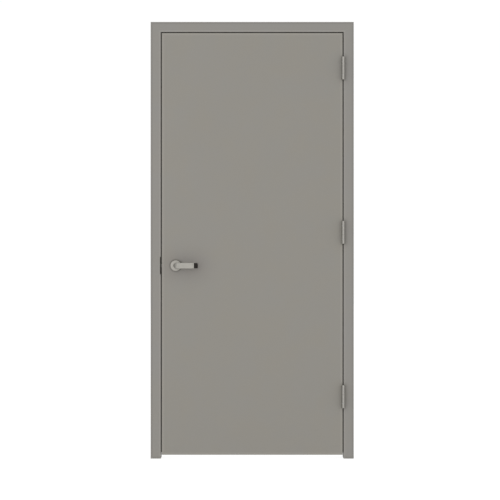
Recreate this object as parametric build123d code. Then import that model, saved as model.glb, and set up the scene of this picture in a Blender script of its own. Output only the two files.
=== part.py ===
from build123d import *
import math
import os

# A single flush steel fire door hung in its welded pressed steel frame.
# Millimetres, +Z up, +X towards the hinge side, +Y from the pull side to the push side.
# The origin is the centre of the hinge jamb's floor foot, on the floor.

# Doorway and frame profile
OPENING_WIDTH = 914.4
OPENING_HEIGHT = 2133.6
FRAME_FACE = 50.8
JAMB_DEPTH = 146.05
PULL_RABBET = 49.5
PUSH_RABBET = 39.7
STOP_HEIGHT = 15.9
RETURN_LIP = 12.7
FRAME_SHEET = 1.5
FRAME_BEND = 2.4
FRAME_INNER_BEND = 0.9
STOP_END = 25.4
MITRE_MARGIN = 20.0

# How far a cutter runs past the surface that it starts from
CUT_PAST = 1.0

# Leaf
LEAF_THICKNESS = 44.45
EDGE_GAP = 5.0
UNDERCUT = 19.05
LEAF_SHEET = 1.2
LEAF_BEND = 1.8
SEAM_GAP = 0.3
END_CHANNEL_HEIGHT = 25.0
END_CHANNEL_SHEET = 1.5
END_CHANNEL_BEND = 2.0
END_CHANNEL_GAP = 0.2
CORE_EDGE_MARGIN = 14.0
CORE_LATCH_GAP = 2.0

# Floor feet and wall anchors
FOOT_LENGTH = 46.0
FOOT_WIDTH = 50.0
FOOT_SHEET = 2.0
FOOT_LEG_HEIGHT = 40.0
FOOT_BOLT_RADIUS = 4.8
FOOT_BOLT_SPACING = 25.4
FOOT_BEND = 3.0
ANCHOR_HEIGHTS = (450.0, 1200.0, 1780.0)
ANCHOR_STRAP_WIDTH = 38.0
ANCHOR_STRAP_SHEET = 1.5
ANCHOR_DEPTH = 22.0

# Hinges: full mortise, five knuckles, two bearing collars
HINGE_HEIGHT = 114.3
HINGE_REACH = 57.15
HINGE_BACKSET = 6.35
HINGE_SHEET = 3.4
KNUCKLE_RADIUS = 7.2
PIN_RADIUS = 3.55
PIN_CLEARANCE = 0.05
KNUCKLE_WEB_GAP = 1.2
KNUCKLES = 5
FRAME_KNUCKLES = (0, 2, 4)
DOOR_KNUCKLES = (1, 3)
BEARING_AFTER_KNUCKLES = (0, 3)
BEARING_HEIGHT = 3.2
BEARING_INSET = 0.5
KNUCKLE_GAP = 0.2
HINGE_TOP_DROP = 123.8
HINGE_BOTTOM_RISE = 254.0
MORTISE_GAP = 0.4
REINFORCEMENT_SHEET = 4.0
REINFORCEMENT_TAB = 34.0
REINFORCEMENT_WIDTH = 34.0
REINFORCEMENT_INSET = 1.0
JOGGLE_MARGIN = 4.0
JOGGLE_RUN = 6.0

# Lock: lever set, latch and strike
LOCK_HEIGHT = 965.2
BACKSET = 69.85
BORE_RADIUS = 24.0
CHASSIS_RADIUS = 23.6
ROSE_RADIUS = 26.9
ROSE_HEIGHT = 6.4
ROSE_CHAMFER = 2.4
ROSE_HOLE_RADIUS = 14.2
NECK_RADIUS = 10.0
NECK_GAP = 1.0
SPINDLE_RADIUS = 7.0
SPINDLE_CLEARANCE = 0.08
SPINDLE_OVERHANG = 1.0
GRIP_HEIGHT = 28.5
GRIP_THICKNESS = 14.5
GRIP_CHAMFER = 2.0
GRIP_CENTRE_OUT = 47.0
ELBOW_RADIUS = 15.0
GRIP_LENGTH = 90.5
TIP_LENGTH = 20.5
COLLAR_LENGTH = 5.0
COLLAR_STEP = 0.5
TIP_CHAMFER = 1.6
FACEPLATE_HEIGHT = 57.15
FACEPLATE_WIDTH = 28.6
FACEPLATE_SHEET = 2.4
FACEPLATE_CORNER = 6.0
LATCH_HEIGHT = 17.0
LATCH_WIDTH = 12.7
LATCH_THROW = 12.7
LATCH_BODY = 34.0
LATCH_CLEARANCE = 0.25
LATCH_NOSE = 1.5
LATCH_BEVEL_START = 0.5
LATCH_WELL_START = 30.0
LATCH_WELL_WALL = 4.0
LATCH_WELL_GAP = 2.0
CASE_RADIUS = 13.0
CASE_GAP = 0.5
CASE_TAB_GAP = 0.3
STRIKE_HEIGHT = 124.0
STRIKE_WIDTH = 31.75
STRIKE_SHEET = 2.0
STRIKE_LIP_HEIGHT = 86.5
STRIKE_LIP_RADIUS = 2.2
STRIKE_LIP_OVERLAP = 2.0
STRIKE_HOLE_MARGIN = 3.0
STRIKE_TAB_HOLE_MARGIN = 4.0
LOCK_TAB_WIDTH = 28.0
LOCK_TAB_SHEET = 2.0
BOX_DEPTH = 26.0
BOX_SHEET = 1.0
BOX_MARGIN_Y = 6.0
BOX_MARGIN_Z = 11.0

# Rubber silencers on the strike jamb's stop
SILENCER_HEIGHTS = (300.0, 1080.0, 1860.0)
SILENCER_RADIUS = 6.4
SILENCER_CLEARANCE = 0.8
SILENCER_STEM_RADIUS = 3.0
SILENCER_STEM_LENGTH = 9.0
SILENCER_HOLE_GAP = 0.1

# Places worked out from the sizes above
SOFFIT_WIDTH = JAMB_DEPTH - PULL_RABBET - PUSH_RABBET
PULL_FACE = -(PULL_RABBET + SOFFIT_WIDTH / 2)
HINGE_RABBET_X = -FOOT_LENGTH / 2 - FRAME_SHEET
HINGE_OUTER_X = HINGE_RABBET_X + FRAME_FACE
STRIKE_RABBET_X = HINGE_RABBET_X - OPENING_WIDTH
STRIKE_OUTER_X = STRIKE_RABBET_X - FRAME_FACE
FRAME_TOP = OPENING_HEIGHT + FRAME_FACE
FRAME_WIDTH = OPENING_WIDTH + 2 * FRAME_FACE
LEAF_RIGHT = HINGE_RABBET_X - EDGE_GAP
LEAF_LEFT = STRIKE_RABBET_X + EDGE_GAP
LEAF_BOTTOM = UNDERCUT
LEAF_TOP = OPENING_HEIGHT - EDGE_GAP
LEAF_BACK = PULL_FACE + LEAF_THICKNESS
LEAF_MIDDLE = PULL_FACE + LEAF_THICKNESS / 2
PIN_X = HINGE_RABBET_X - EDGE_GAP / 2
PIN_Y = PULL_FACE + LEAF_THICKNESS - HINGE_BACKSET - HINGE_REACH
HINGE_TOP_Z = OPENING_HEIGHT - HINGE_TOP_DROP - HINGE_HEIGHT / 2
HINGE_BOTTOM_Z = HINGE_BOTTOM_RISE + HINGE_HEIGHT / 2
HINGES = {
    "top": HINGE_TOP_Z,
    "middle": (HINGE_TOP_Z + HINGE_BOTTOM_Z) / 2,
    "bottom": HINGE_BOTTOM_Z,
}
HINGE_LEAF_START = PIN_Y + KNUCKLE_RADIUS + KNUCKLE_WEB_GAP
HINGE_LEAF_END = PIN_Y + HINGE_REACH
HINGE_TRAY_BACK = HINGE_SHEET + FRAME_SHEET
LEVER_X = LEAF_LEFT + BACKSET

# Seen from the front: first axis +X, second axis up
FRONT = Plane(origin=(0, 0, 0), x_dir=(1, 0, 0), z_dir=(0, -1, 0))

nodes = {}


def box_between(low, high):
    """A rectangular block between two opposite corners."""
    size = [high[i] - low[i] for i in range(3)]
    block = Box(*size, align=(Align.MIN, Align.MIN, Align.MIN))
    return block.moved(Location(tuple(low)))


def rod_along(axis, centre, radius, length):
    """A cylinder centred on a point, with its axis along X, Y or Z."""
    turn = {"X": (0, 90, 0), "Y": (90, 0, 0), "Z": (0, 0, 0)}[axis]
    return Location(centre, turn) * Cylinder(radius, length)


# Frame: one pressed profile, mitred at the two top corners

def frame_outline():
    """The double rabbet profile's outside: first axis from the outer edge to the doorway, second the depth."""
    deep = JAMB_DEPTH
    stop = FRAME_FACE + STOP_HEIGHT
    corners = [
        (0, RETURN_LIP),
        (0, 0),
        (FRAME_FACE, 0),
        (FRAME_FACE, PULL_RABBET),
        (stop, PULL_RABBET),
        (stop, deep - PUSH_RABBET),
        (FRAME_FACE, deep - PUSH_RABBET),
        (FRAME_FACE, deep),
        (0, deep),
        (0, deep - RETURN_LIP),
    ]
    outward = FRAME_BEND
    inward = FRAME_INNER_BEND
    radii = [outward, outward, inward, outward, outward, inward, outward, outward]
    return FilletPolyline(*corners, radius=radii)


def plain_outline():
    """The profile's outside below the stop's end, with a flat web from face to face."""
    corners = [
        (0, RETURN_LIP),
        (0, 0),
        (FRAME_FACE, 0),
        (FRAME_FACE, JAMB_DEPTH),
        (0, JAMB_DEPTH),
        (0, JAMB_DEPTH - RETURN_LIP),
    ]
    return FilletPolyline(*corners, radius=FRAME_BEND)


def sheet_section(outline):
    """The bent sheet's section, its thickness laid inside the outline."""
    return make_face(offset(outline, amount=FRAME_SHEET, side=Side.LEFT))


def across_frame(outline):
    """A prism through the frame's whole depth, from an outline drawn as seen from the front."""
    start = Plane(origin=(0, PULL_FACE - MITRE_MARGIN, 0), x_dir=(1, 0, 0), z_dir=(0, -1, 0))
    return extrude(start * make_face(outline), amount=-(JAMB_DEPTH + 2 * MITRE_MARGIN))


def mitre_knife(corner_x, towards):
    """A prism that holds everything below the mitre line of one top corner."""
    reach = FRAME_FACE + STOP_HEIGHT + MITRE_MARGIN
    outline = Polyline(
        (corner_x - towards * MITRE_MARGIN, FRAME_TOP + MITRE_MARGIN),
        (corner_x + towards * reach, FRAME_TOP - reach),
        (corner_x + towards * reach, -MITRE_MARGIN),
        (corner_x - towards * MITRE_MARGIN, -MITRE_MARGIN),
        close=True,
    )
    return across_frame(outline)


def stop_end_knife(rabbet_x, into):
    """A prism that holds all of a jamb below the 45 degree cut at the lower end of its stop."""
    past_nose = STOP_HEIGHT + MITRE_MARGIN
    outline = Polyline(
        (rabbet_x + into * (FRAME_FACE + MITRE_MARGIN), -MITRE_MARGIN),
        (rabbet_x + into * (FRAME_FACE + MITRE_MARGIN), STOP_END),
        (rabbet_x, STOP_END),
        (rabbet_x - into * past_nose, STOP_END + past_nose),
        (rabbet_x - into * past_nose, -MITRE_MARGIN),
        close=True,
    )
    return across_frame(outline)


def stop_end_plate(rabbet_x, into):
    """The sloping sheet that closes the lower end of a stop."""
    nose = rabbet_x - into * STOP_HEIGHT
    root = rabbet_x + into * FRAME_SHEET
    rise = FRAME_SHEET * math.sqrt(2)
    outline = Polyline(
        (root, STOP_END),
        (rabbet_x, STOP_END),
        (nose, STOP_END + STOP_HEIGHT),
        (nose, STOP_END + STOP_HEIGHT + rise),
        (root, STOP_END + rise - FRAME_SHEET),
        close=True,
    )
    return extrude(FRONT * make_face(outline), amount=SOFFIT_WIDTH / 2, both=True)


def jamb(outer_x, towards):
    """One jamb: the stopped profile, the plain profile below the stop's end, and the end's closing plate."""
    rabbet_x = outer_x + towards * FRAME_FACE
    if towards > 0:
        plane = Plane(origin=(outer_x, PULL_FACE, 0), x_dir=(1, 0, 0), z_dir=(0, 0, 1))
        rise = 1
    else:
        plane = Plane(origin=(outer_x, PULL_FACE, 0), x_dir=(-1, 0, 0), z_dir=(0, 0, -1))
        rise = -1
    stopped = extrude(plane * sheet_section(frame_outline()), amount=rise * FRAME_TOP)
    stopped = (stopped & mitre_knife(outer_x, towards)) - stop_end_knife(rabbet_x, -towards)
    plain = extrude(plane * sheet_section(plain_outline()), amount=rise * STOP_END)
    outline = frame_outline()
    filled = make_face(outline + Line(outline @ 1, outline @ 0))
    closing = stop_end_plate(rabbet_x, -towards) & extrude(plane * filled, amount=rise * FRAME_TOP)
    return stopped + plain + closing


def hinge_tray(centre_z):
    """The floor and rim of a hinge pocket, pressed back out of the rabbet's sheet."""
    rim = HINGE_HEIGHT / 2 + MORTISE_GAP + FRAME_SHEET
    half_sheet = FRAME_SHEET / 2
    low = (HINGE_RABBET_X + half_sheet, PULL_FACE + half_sheet, centre_z - rim)
    high = (HINGE_RABBET_X + HINGE_TRAY_BACK, HINGE_LEAF_END + MORTISE_GAP + FRAME_SHEET, centre_z + rim)
    return box_between(low, high)


def hinge_mortise(centre_z, surface_x, into, margin):
    """The pocket that a hinge leaf fills in the jamb or in the leaf's edge."""
    near = surface_x - into * CUT_PAST
    far = surface_x + into * HINGE_SHEET
    low = (min(near, far), PULL_FACE - CUT_PAST, centre_z - HINGE_HEIGHT / 2 - margin)
    high = (max(near, far), HINGE_LEAF_END + margin, centre_z + HINGE_HEIGHT / 2 + margin)
    return box_between(low, high)


def build_frame():
    head_plane = Plane(origin=(STRIKE_OUTER_X, PULL_FACE, FRAME_TOP), x_dir=(0, 0, -1), z_dir=(1, 0, 0))
    head = extrude(head_plane * sheet_section(frame_outline()), amount=FRAME_WIDTH)
    head = head - mitre_knife(HINGE_OUTER_X, -1) - mitre_knife(STRIKE_OUTER_X, 1)
    hinge_jamb = jamb(HINGE_OUTER_X, -1)
    strike_jamb = jamb(STRIKE_OUTER_X, 1)

    for centre_z in HINGES.values():
        hinge_jamb += hinge_tray(centre_z)
        hinge_jamb -= hinge_mortise(centre_z, HINGE_RABBET_X, 1, MORTISE_GAP)
    strike_jamb -= strike_mortise()
    for height in SILENCER_HEIGHTS:
        strike_jamb -= silencer_stem(height, SILENCER_STEM_RADIUS + SILENCER_HOLE_GAP)

    nodes["frame_head"] = head
    nodes["frame_hinge_jamb"] = hinge_jamb
    nodes["frame_strike_jamb"] = strike_jamb


def joggled_plate(surface_x, into, centre_z, pocket_height, pocket_depth, sheet_behind, middle_y, width, thickness):
    """A reinforcement set back behind a pocket, its ends stepping out to meet the sheet's back."""
    half = pocket_height / 2 + JOGGLE_MARGIN
    end = half + JOGGLE_RUN + REINFORCEMENT_TAB
    back = surface_x + into * pocket_depth
    front = surface_x + into * sheet_behind
    path = [
        (front, centre_z - end),
        (front, centre_z - half - JOGGLE_RUN),
        (back, centre_z - half),
        (back, centre_z + half),
        (front, centre_z + half + JOGGLE_RUN),
        (front, centre_z + end),
    ]
    side = Plane(origin=(0, middle_y, 0), x_dir=(1, 0, 0), z_dir=(0, -1, 0))
    inner = Polyline(*path)
    far = [(x + into * thickness, z) for x, z in reversed(path)]
    outline = inner + Polyline(path[-1], *far, path[0])
    return extrude(side * make_face(outline), amount=width / 2, both=True)


def build_hinge_reinforcements():
    middle_y = HINGE_LEAF_END - REINFORCEMENT_WIDTH / 2 - REINFORCEMENT_INSET
    width = REINFORCEMENT_WIDTH
    frame_plates = []
    leaf_plates = []
    for centre_z in HINGES.values():
        frame_plates.append(joggled_plate(HINGE_RABBET_X, 1, centre_z, HINGE_HEIGHT, HINGE_TRAY_BACK,
                                          FRAME_SHEET, middle_y, width, REINFORCEMENT_SHEET))
        leaf_plates.append(joggled_plate(LEAF_RIGHT, -1, centre_z, HINGE_HEIGHT, HINGE_SHEET,
                                         LEAF_SHEET, middle_y, width, REINFORCEMENT_SHEET))
    nodes["frame_hinge_reinforcements"] = Compound(children=frame_plates)
    nodes["leaf_hinge_reinforcements"] = Compound(children=leaf_plates)


# Floor feet and wall anchors

def floor_foot(back_x, into):
    """An angle clip: a leg welded up the inside of the jamb's web and a drilled foot on the floor."""
    end = back_x + into * FOOT_LENGTH
    path = FilletPolyline((back_x, FOOT_LEG_HEIGHT), (back_x, 0), (end, 0), radius=FOOT_BEND)
    side = Side.LEFT if into > 0 else Side.RIGHT
    section = make_face(offset(path, amount=FOOT_SHEET, side=side))
    foot = extrude(FRONT * section, amount=FOOT_WIDTH / 2, both=True)
    centre_x = (back_x + end) / 2
    for sign in (-1, 1):
        bolt_centre = (centre_x, sign * FOOT_BOLT_SPACING / 2, 0)
        foot -= rod_along("Z", bolt_centre, FOOT_BOLT_RADIUS, 2 * (FOOT_SHEET + CUT_PAST))
    return foot


def wall_anchor(rabbet_x, into, height):
    """A strap bent to a channel that stands in the hollow of the jamb, on the back of the stop."""
    back = rabbet_x - into * (STOP_HEIGHT - FRAME_SHEET)
    front = rabbet_x + into * ANCHOR_DEPTH
    half = SOFFIT_WIDTH / 2 - FRAME_BEND
    path = Polyline((back, -half), (front, -half), (front, half), (back, half))
    side = Side.LEFT if into > 0 else Side.RIGHT
    section = make_face(offset(path, amount=ANCHOR_STRAP_SHEET, side=side, kind=Kind.INTERSECTION))
    strap = extrude(section, amount=ANCHOR_STRAP_WIDTH)
    return strap.moved(Location((0, 0, height - ANCHOR_STRAP_WIDTH / 2)))


def build_anchors():
    nodes["floor_foot_hinge_side"] = floor_foot(HINGE_RABBET_X + FRAME_SHEET, 1)
    nodes["floor_foot_strike_side"] = floor_foot(STRIKE_RABBET_X - FRAME_SHEET, -1)
    hinge_side = [wall_anchor(HINGE_RABBET_X, 1, height) for height in ANCHOR_HEIGHTS]
    strike_side = [wall_anchor(STRIKE_RABBET_X, -1, height) for height in ANCHOR_HEIGHTS]
    nodes["wall_anchors_hinge_side"] = Compound(children=hinge_side)
    nodes["wall_anchors_strike_side"] = Compound(children=strike_side)


# Silencers

def silencer_stem(height, radius):
    middle = PULL_FACE + PULL_RABBET + SILENCER_STEM_LENGTH / 2
    centre = (STRIKE_RABBET_X + STOP_HEIGHT / 2, middle, height)
    return rod_along("Y", centre, radius, SILENCER_STEM_LENGTH)


def build_silencers():
    buttons = []
    for height in SILENCER_HEIGHTS:
        thick = PULL_RABBET - LEAF_THICKNESS - SILENCER_CLEARANCE
        middle = PULL_FACE + PULL_RABBET - thick / 2
        centre = (STRIKE_RABBET_X + STOP_HEIGHT / 2, middle, height)
        button = rod_along("Y", centre, SILENCER_RADIUS, thick)
        buttons.append(button + silencer_stem(height, SILENCER_STEM_RADIUS))
    nodes["silencers"] = Compound(children=buttons)


# Leaf

def leaf_pan(face_y, inward):
    """One face sheet, bent round both vertical edges to the seam at mid thickness."""
    flange = LEAF_THICKNESS / 2 - SEAM_GAP / 2
    path = FilletPolyline(
        (LEAF_LEFT, face_y + inward * flange),
        (LEAF_LEFT, face_y),
        (LEAF_RIGHT, face_y),
        (LEAF_RIGHT, face_y + inward * flange),
        radius=LEAF_BEND,
    )
    side = Side.LEFT if inward > 0 else Side.RIGHT
    section = make_face(offset(path, amount=LEAF_SHEET, side=side))
    return extrude(section, amount=LEAF_TOP - LEAF_BOTTOM).moved(Location((0, 0, LEAF_BOTTOM)))


def end_channel(web_z, leg_z):
    """A channel across the end of the leaf, between the two face sheets."""
    front = PULL_FACE + LEAF_SHEET
    back = LEAF_BACK - LEAF_SHEET
    inset = LEAF_BEND + END_CHANNEL_GAP
    corners = [(front, leg_z), (front, web_z), (back, web_z), (back, leg_z)]
    path = FilletPolyline(*corners, radius=END_CHANNEL_BEND)
    side = Side.LEFT if web_z < leg_z else Side.RIGHT
    section = make_face(offset(path, amount=END_CHANNEL_SHEET, side=side))
    plane = Plane(origin=(LEAF_LEFT + inset, 0, 0), x_dir=(0, 1, 0), z_dir=(1, 0, 0))
    return extrude(plane * section, amount=LEAF_RIGHT - LEAF_LEFT - 2 * inset)


def build_leaf():
    pull = leaf_pan(PULL_FACE, 1)
    push = leaf_pan(LEAF_BACK, -1)
    bore = rod_along("Y", (LEVER_X, LEAF_MIDDLE, LOCK_HEIGHT), BORE_RADIUS, LEAF_THICKNESS + 2 * CUT_PAST)
    for centre_z in HINGES.values():
        pocket = hinge_mortise(centre_z, LEAF_RIGHT, -1, MORTISE_GAP)
        pull -= pocket
        push -= pocket
    lock_slot = faceplate_block(MORTISE_GAP, FACEPLATE_SHEET + CUT_PAST)
    nodes["leaf_pull_face"] = pull - bore - lock_slot
    nodes["leaf_push_face"] = push - bore - lock_slot

    nodes["leaf_top_channel"] = end_channel(LEAF_TOP, LEAF_TOP - END_CHANNEL_HEIGHT)
    bottom_web = LEAF_BOTTOM + END_CHANNEL_HEIGHT
    nodes["leaf_bottom_channel"] = end_channel(bottom_web, LEAF_BOTTOM)

    core = box_between(
        (LEAF_LEFT + CORE_EDGE_MARGIN, PULL_FACE + LEAF_SHEET, bottom_web),
        (LEAF_RIGHT - CORE_EDGE_MARGIN, LEAF_BACK - LEAF_SHEET, LEAF_TOP - END_CHANNEL_HEIGHT),
    )
    core -= bore
    half = CASE_RADIUS + CORE_LATCH_GAP
    core -= box_between(
        (LEAF_LEFT, LEAF_MIDDLE - half, LOCK_HEIGHT - half),
        (LEVER_X, LEAF_MIDDLE + half, LOCK_HEIGHT + half),
    )
    nodes["leaf_core"] = core


# Hinges

def knuckle_levels(centre_z):
    """The lower and upper level of the five knuckles and of the two bearing collars."""
    bearing_share = len(BEARING_AFTER_KNUCKLES) * BEARING_HEIGHT
    gap_share = (KNUCKLES - 1) * KNUCKLE_GAP
    length = (HINGE_HEIGHT - bearing_share - gap_share) / KNUCKLES
    level = centre_z - HINGE_HEIGHT / 2
    knuckles = []
    bearings = []
    for index in range(KNUCKLES):
        knuckles.append((level, level + length))
        level += length
        if index in BEARING_AFTER_KNUCKLES:
            bearings.append((level, level + BEARING_HEIGHT))
            level += BEARING_HEIGHT
        level += KNUCKLE_GAP
    return knuckles, bearings


def hinge_leaf(centre_z, into, indices):
    """A hinge leaf with its own knuckles curled round the pin."""
    near = PIN_X + into * EDGE_GAP / 2
    far = near + into * HINGE_SHEET
    low_x, high_x = min(near, far), max(near, far)
    plate = box_between(
        (low_x, HINGE_LEAF_START, centre_z - HINGE_HEIGHT / 2),
        (high_x, HINGE_LEAF_END, centre_z + HINGE_HEIGHT / 2),
    )
    knuckles, _ = knuckle_levels(centre_z)
    bore = PIN_RADIUS + PIN_CLEARANCE
    for index in indices:
        low, high = knuckles[index]
        web = box_between((low_x, PIN_Y, low), (high_x, HINGE_LEAF_START + CUT_PAST, high))
        barrel = rod_along("Z", (PIN_X, PIN_Y, (low + high) / 2), KNUCKLE_RADIUS, high - low)
        plate += web + barrel
    return plate - rod_along("Z", (PIN_X, PIN_Y, centre_z), bore, HINGE_HEIGHT + 2 * CUT_PAST)


def bearing_ring(low, high):
    """A hardened collar between two knuckles."""
    centre = (PIN_X, PIN_Y, (low + high) / 2)
    ring = rod_along("Z", centre, KNUCKLE_RADIUS - BEARING_INSET, high - low)
    return ring - rod_along("Z", centre, PIN_RADIUS + PIN_CLEARANCE, high - low + 2 * CUT_PAST)


def build_hinges():
    for place, centre_z in HINGES.items():
        _, bearings = knuckle_levels(centre_z)
        rings = [bearing_ring(low, high) for low, high in bearings]
        nodes[f"hinge_{place}_frame_leaf"] = hinge_leaf(centre_z, 1, FRAME_KNUCKLES)
        nodes[f"hinge_{place}_door_leaf"] = hinge_leaf(centre_z, -1, DOOR_KNUCKLES)
        nodes[f"hinge_{place}_pin"] = rod_along("Z", (PIN_X, PIN_Y, centre_z), PIN_RADIUS, HINGE_HEIGHT)
        nodes[f"hinge_{place}_bearings"] = Compound(children=rings)


# Lock, latch and strike

def faceplate_block(margin, depth):
    """The latch faceplate's block in the leaf's lock edge, with its rounded corners."""
    outline = Rectangle(FACEPLATE_WIDTH + 2 * margin, FACEPLATE_HEIGHT + 2 * margin)
    outline = fillet(outline.vertices(), FACEPLATE_CORNER + margin)
    plane = Plane(origin=(LEAF_LEFT, LEAF_MIDDLE, LOCK_HEIGHT), x_dir=(0, 1, 0), z_dir=(1, 0, 0))
    return extrude(plane * outline, amount=depth)


def latch_block(low_x, high_x, margin):
    half_y = LATCH_WIDTH / 2 + margin
    half_z = LATCH_HEIGHT / 2 + margin
    return box_between(
        (low_x, LEAF_MIDDLE - half_y, LOCK_HEIGHT - half_z),
        (high_x, LEAF_MIDDLE + half_y, LOCK_HEIGHT + half_z),
    )


def latch_bolt():
    """The latch bolt, bevelled on the side that meets the strike as the leaf closes."""
    tip = LEAF_LEFT - LATCH_THROW
    front = LEAF_MIDDLE - LATCH_WIDTH / 2
    back = LEAF_MIDDLE + LATCH_WIDTH / 2
    outline = Polyline(
        (LEAF_LEFT + LATCH_BODY, front),
        (tip, front),
        (tip, front + LATCH_NOSE),
        (LEAF_LEFT - LATCH_BEVEL_START, back),
        (LEAF_LEFT + LATCH_BODY, back),
        close=True,
    )
    bolt = extrude(make_face(outline), amount=LATCH_HEIGHT)
    return bolt.moved(Location((0, 0, LOCK_HEIGHT - LATCH_HEIGHT / 2)))


def rose(face_y, outward):
    """A round rose: straight rim, chamfered shoulder, flat front and a wide hole round the hub."""
    line = Polyline(
        (ROSE_HOLE_RADIUS, 0),
        (ROSE_RADIUS, 0),
        (ROSE_RADIUS, ROSE_HEIGHT - ROSE_CHAMFER),
        (ROSE_RADIUS - ROSE_CHAMFER, ROSE_HEIGHT),
        (ROSE_HOLE_RADIUS, ROSE_HEIGHT),
        close=True,
    )
    solid = revolve(Plane.XZ * make_face(line), Axis.Z)
    turn = (90, 0, 0) if outward < 0 else (-90, 0, 0)
    return Location((LEVER_X, face_y, LOCK_HEIGHT), turn) * solid


def grip_section(height, thickness):
    """The bar's cross-section: an upright bar with chamfered corners."""
    outline = Rectangle(thickness, height)
    return chamfer(outline.vertices(), GRIP_CHAMFER)


def grip(start, length, height, thickness, centre_y):
    """A straight length of the lever's bar."""
    plane = Plane(origin=(LEVER_X + start, centre_y, LOCK_HEIGHT), x_dir=(0, 1, 0), z_dir=(1, 0, 0))
    return extrude(plane * grip_section(height, thickness), amount=length)


def lever_elbow(face_y, outward):
    """The quarter turn from the round neck to the bar."""
    turn_y = face_y + outward * (GRIP_CENTRE_OUT - ELBOW_RADIUS)
    plane = Plane(origin=(LEVER_X, turn_y, LOCK_HEIGHT), x_dir=(1, 0, 0), z_dir=(0, outward, 0))
    axis = Axis((LEVER_X + ELBOW_RADIUS, turn_y, LOCK_HEIGHT), (0, 0, -outward))
    return revolve(plane * grip_section(GRIP_HEIGHT, GRIP_THICKNESS), axis, 90)


def lever(face_y, outward):
    """A lever: round neck out of the rose, elbow, straight bar and a collar at its end."""
    centre_y = face_y + outward * GRIP_CENTRE_OUT
    reach = GRIP_CENTRE_OUT - ELBOW_RADIUS
    neck_middle = (LEVER_X, face_y + outward * (reach + NECK_GAP) / 2, LOCK_HEIGHT)
    neck = rod_along("Y", neck_middle, NECK_RADIUS, reach - NECK_GAP)
    collar_start = GRIP_LENGTH - COLLAR_LENGTH
    bar = grip(ELBOW_RADIUS, collar_start - ELBOW_RADIUS, GRIP_HEIGHT, GRIP_THICKNESS, centre_y)
    step = 2 * COLLAR_STEP
    collar = grip(collar_start, COLLAR_LENGTH, GRIP_HEIGHT + step, GRIP_THICKNESS + step, centre_y)
    return neck + lever_elbow(face_y, outward) + bar + collar


def lever_tip(face_y, outward):
    """The black end of the lever."""
    centre_y = face_y + outward * GRIP_CENTRE_OUT
    tip = grip(GRIP_LENGTH, TIP_LENGTH, GRIP_HEIGHT, GRIP_THICKNESS, centre_y)
    return chamfer(tip.faces().sort_by(Axis.X)[-1].edges(), TIP_CHAMFER)


def build_lock():
    mid = (LEVER_X, LEAF_MIDDLE, LOCK_HEIGHT)
    inner = LEAF_THICKNESS - 2 * LEAF_SHEET
    spindle_hole = rod_along("Y", mid, SPINDLE_RADIUS + SPINDLE_CLEARANCE, LEAF_THICKNESS)
    well_end = LEVER_X - SPINDLE_RADIUS - LATCH_WELL_WALL
    latch_well = latch_block(LEVER_X - LATCH_WELL_START, well_end, LATCH_WELL_GAP)
    nodes["lock_chassis"] = rod_along("Y", mid, CHASSIS_RADIUS, inner) - spindle_hole - latch_well

    case_start = LEAF_LEFT + FACEPLATE_SHEET
    case_end = LEVER_X - CHASSIS_RADIUS - CASE_GAP
    case_mid = ((case_start + case_end) / 2, LEAF_MIDDLE, LOCK_HEIGHT)
    case = rod_along("X", case_mid, CASE_RADIUS, case_end - case_start)
    case -= latch_block(case_start - CUT_PAST, case_end + CUT_PAST, LATCH_CLEARANCE)
    nodes["latch_case"] = case

    plate = faceplate_block(0, FACEPLATE_SHEET)
    plate_hole = latch_block(LEAF_LEFT - CUT_PAST, case_start + CUT_PAST, LATCH_CLEARANCE)
    nodes["latch_faceplate"] = plate - plate_hole
    nodes["latch_bolt"] = latch_bolt()

    reinforcement = joggled_plate(LEAF_LEFT, 1, LOCK_HEIGHT, FACEPLATE_HEIGHT, FACEPLATE_SHEET,
                                  LEAF_SHEET, LEAF_MIDDLE, LOCK_TAB_WIDTH, LOCK_TAB_SHEET)
    nodes["lock_reinforcement"] = reinforcement - rod_along("X", case_mid, CASE_RADIUS + CASE_TAB_GAP,
                                                            2 * BACKSET)

    nodes["rose_outside"] = rose(PULL_FACE, -1)
    nodes["rose_inside"] = rose(LEAF_BACK, 1)
    nodes["lever_outside"] = lever(PULL_FACE, -1)
    nodes["lever_inside"] = lever(LEAF_BACK, 1)
    nodes["lever_tip_outside"] = lever_tip(PULL_FACE, -1)
    nodes["lever_tip_inside"] = lever_tip(LEAF_BACK, 1)
    nodes["spindle"] = rod_along("Y", mid, SPINDLE_RADIUS, LEAF_THICKNESS + 2 * SPINDLE_OVERHANG)


def strike_mortise():
    """The cut-out in the strike jamb for the strike plate, its curled lip and the latch."""
    half = STRIKE_HEIGHT / 2 + MORTISE_GAP
    back = LEAF_MIDDLE + STRIKE_WIDTH / 2 + MORTISE_GAP
    plate_front = LEAF_MIDDLE - STRIKE_WIDTH / 2 - MORTISE_GAP
    cut = box_between(
        (STRIKE_RABBET_X - STRIKE_SHEET - CUT_PAST, plate_front, LOCK_HEIGHT - half),
        (STRIKE_RABBET_X + CUT_PAST, back, LOCK_HEIGHT + half),
    )
    lip_half = STRIKE_LIP_HEIGHT / 2 + MORTISE_GAP
    depth = STRIKE_LIP_RADIUS + STRIKE_SHEET + MORTISE_GAP
    cut += box_between(
        (STRIKE_RABBET_X - depth, PULL_FACE - CUT_PAST, LOCK_HEIGHT - lip_half),
        (STRIKE_RABBET_X + CUT_PAST, plate_front + CUT_PAST, LOCK_HEIGHT + lip_half),
    )
    return cut


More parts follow.
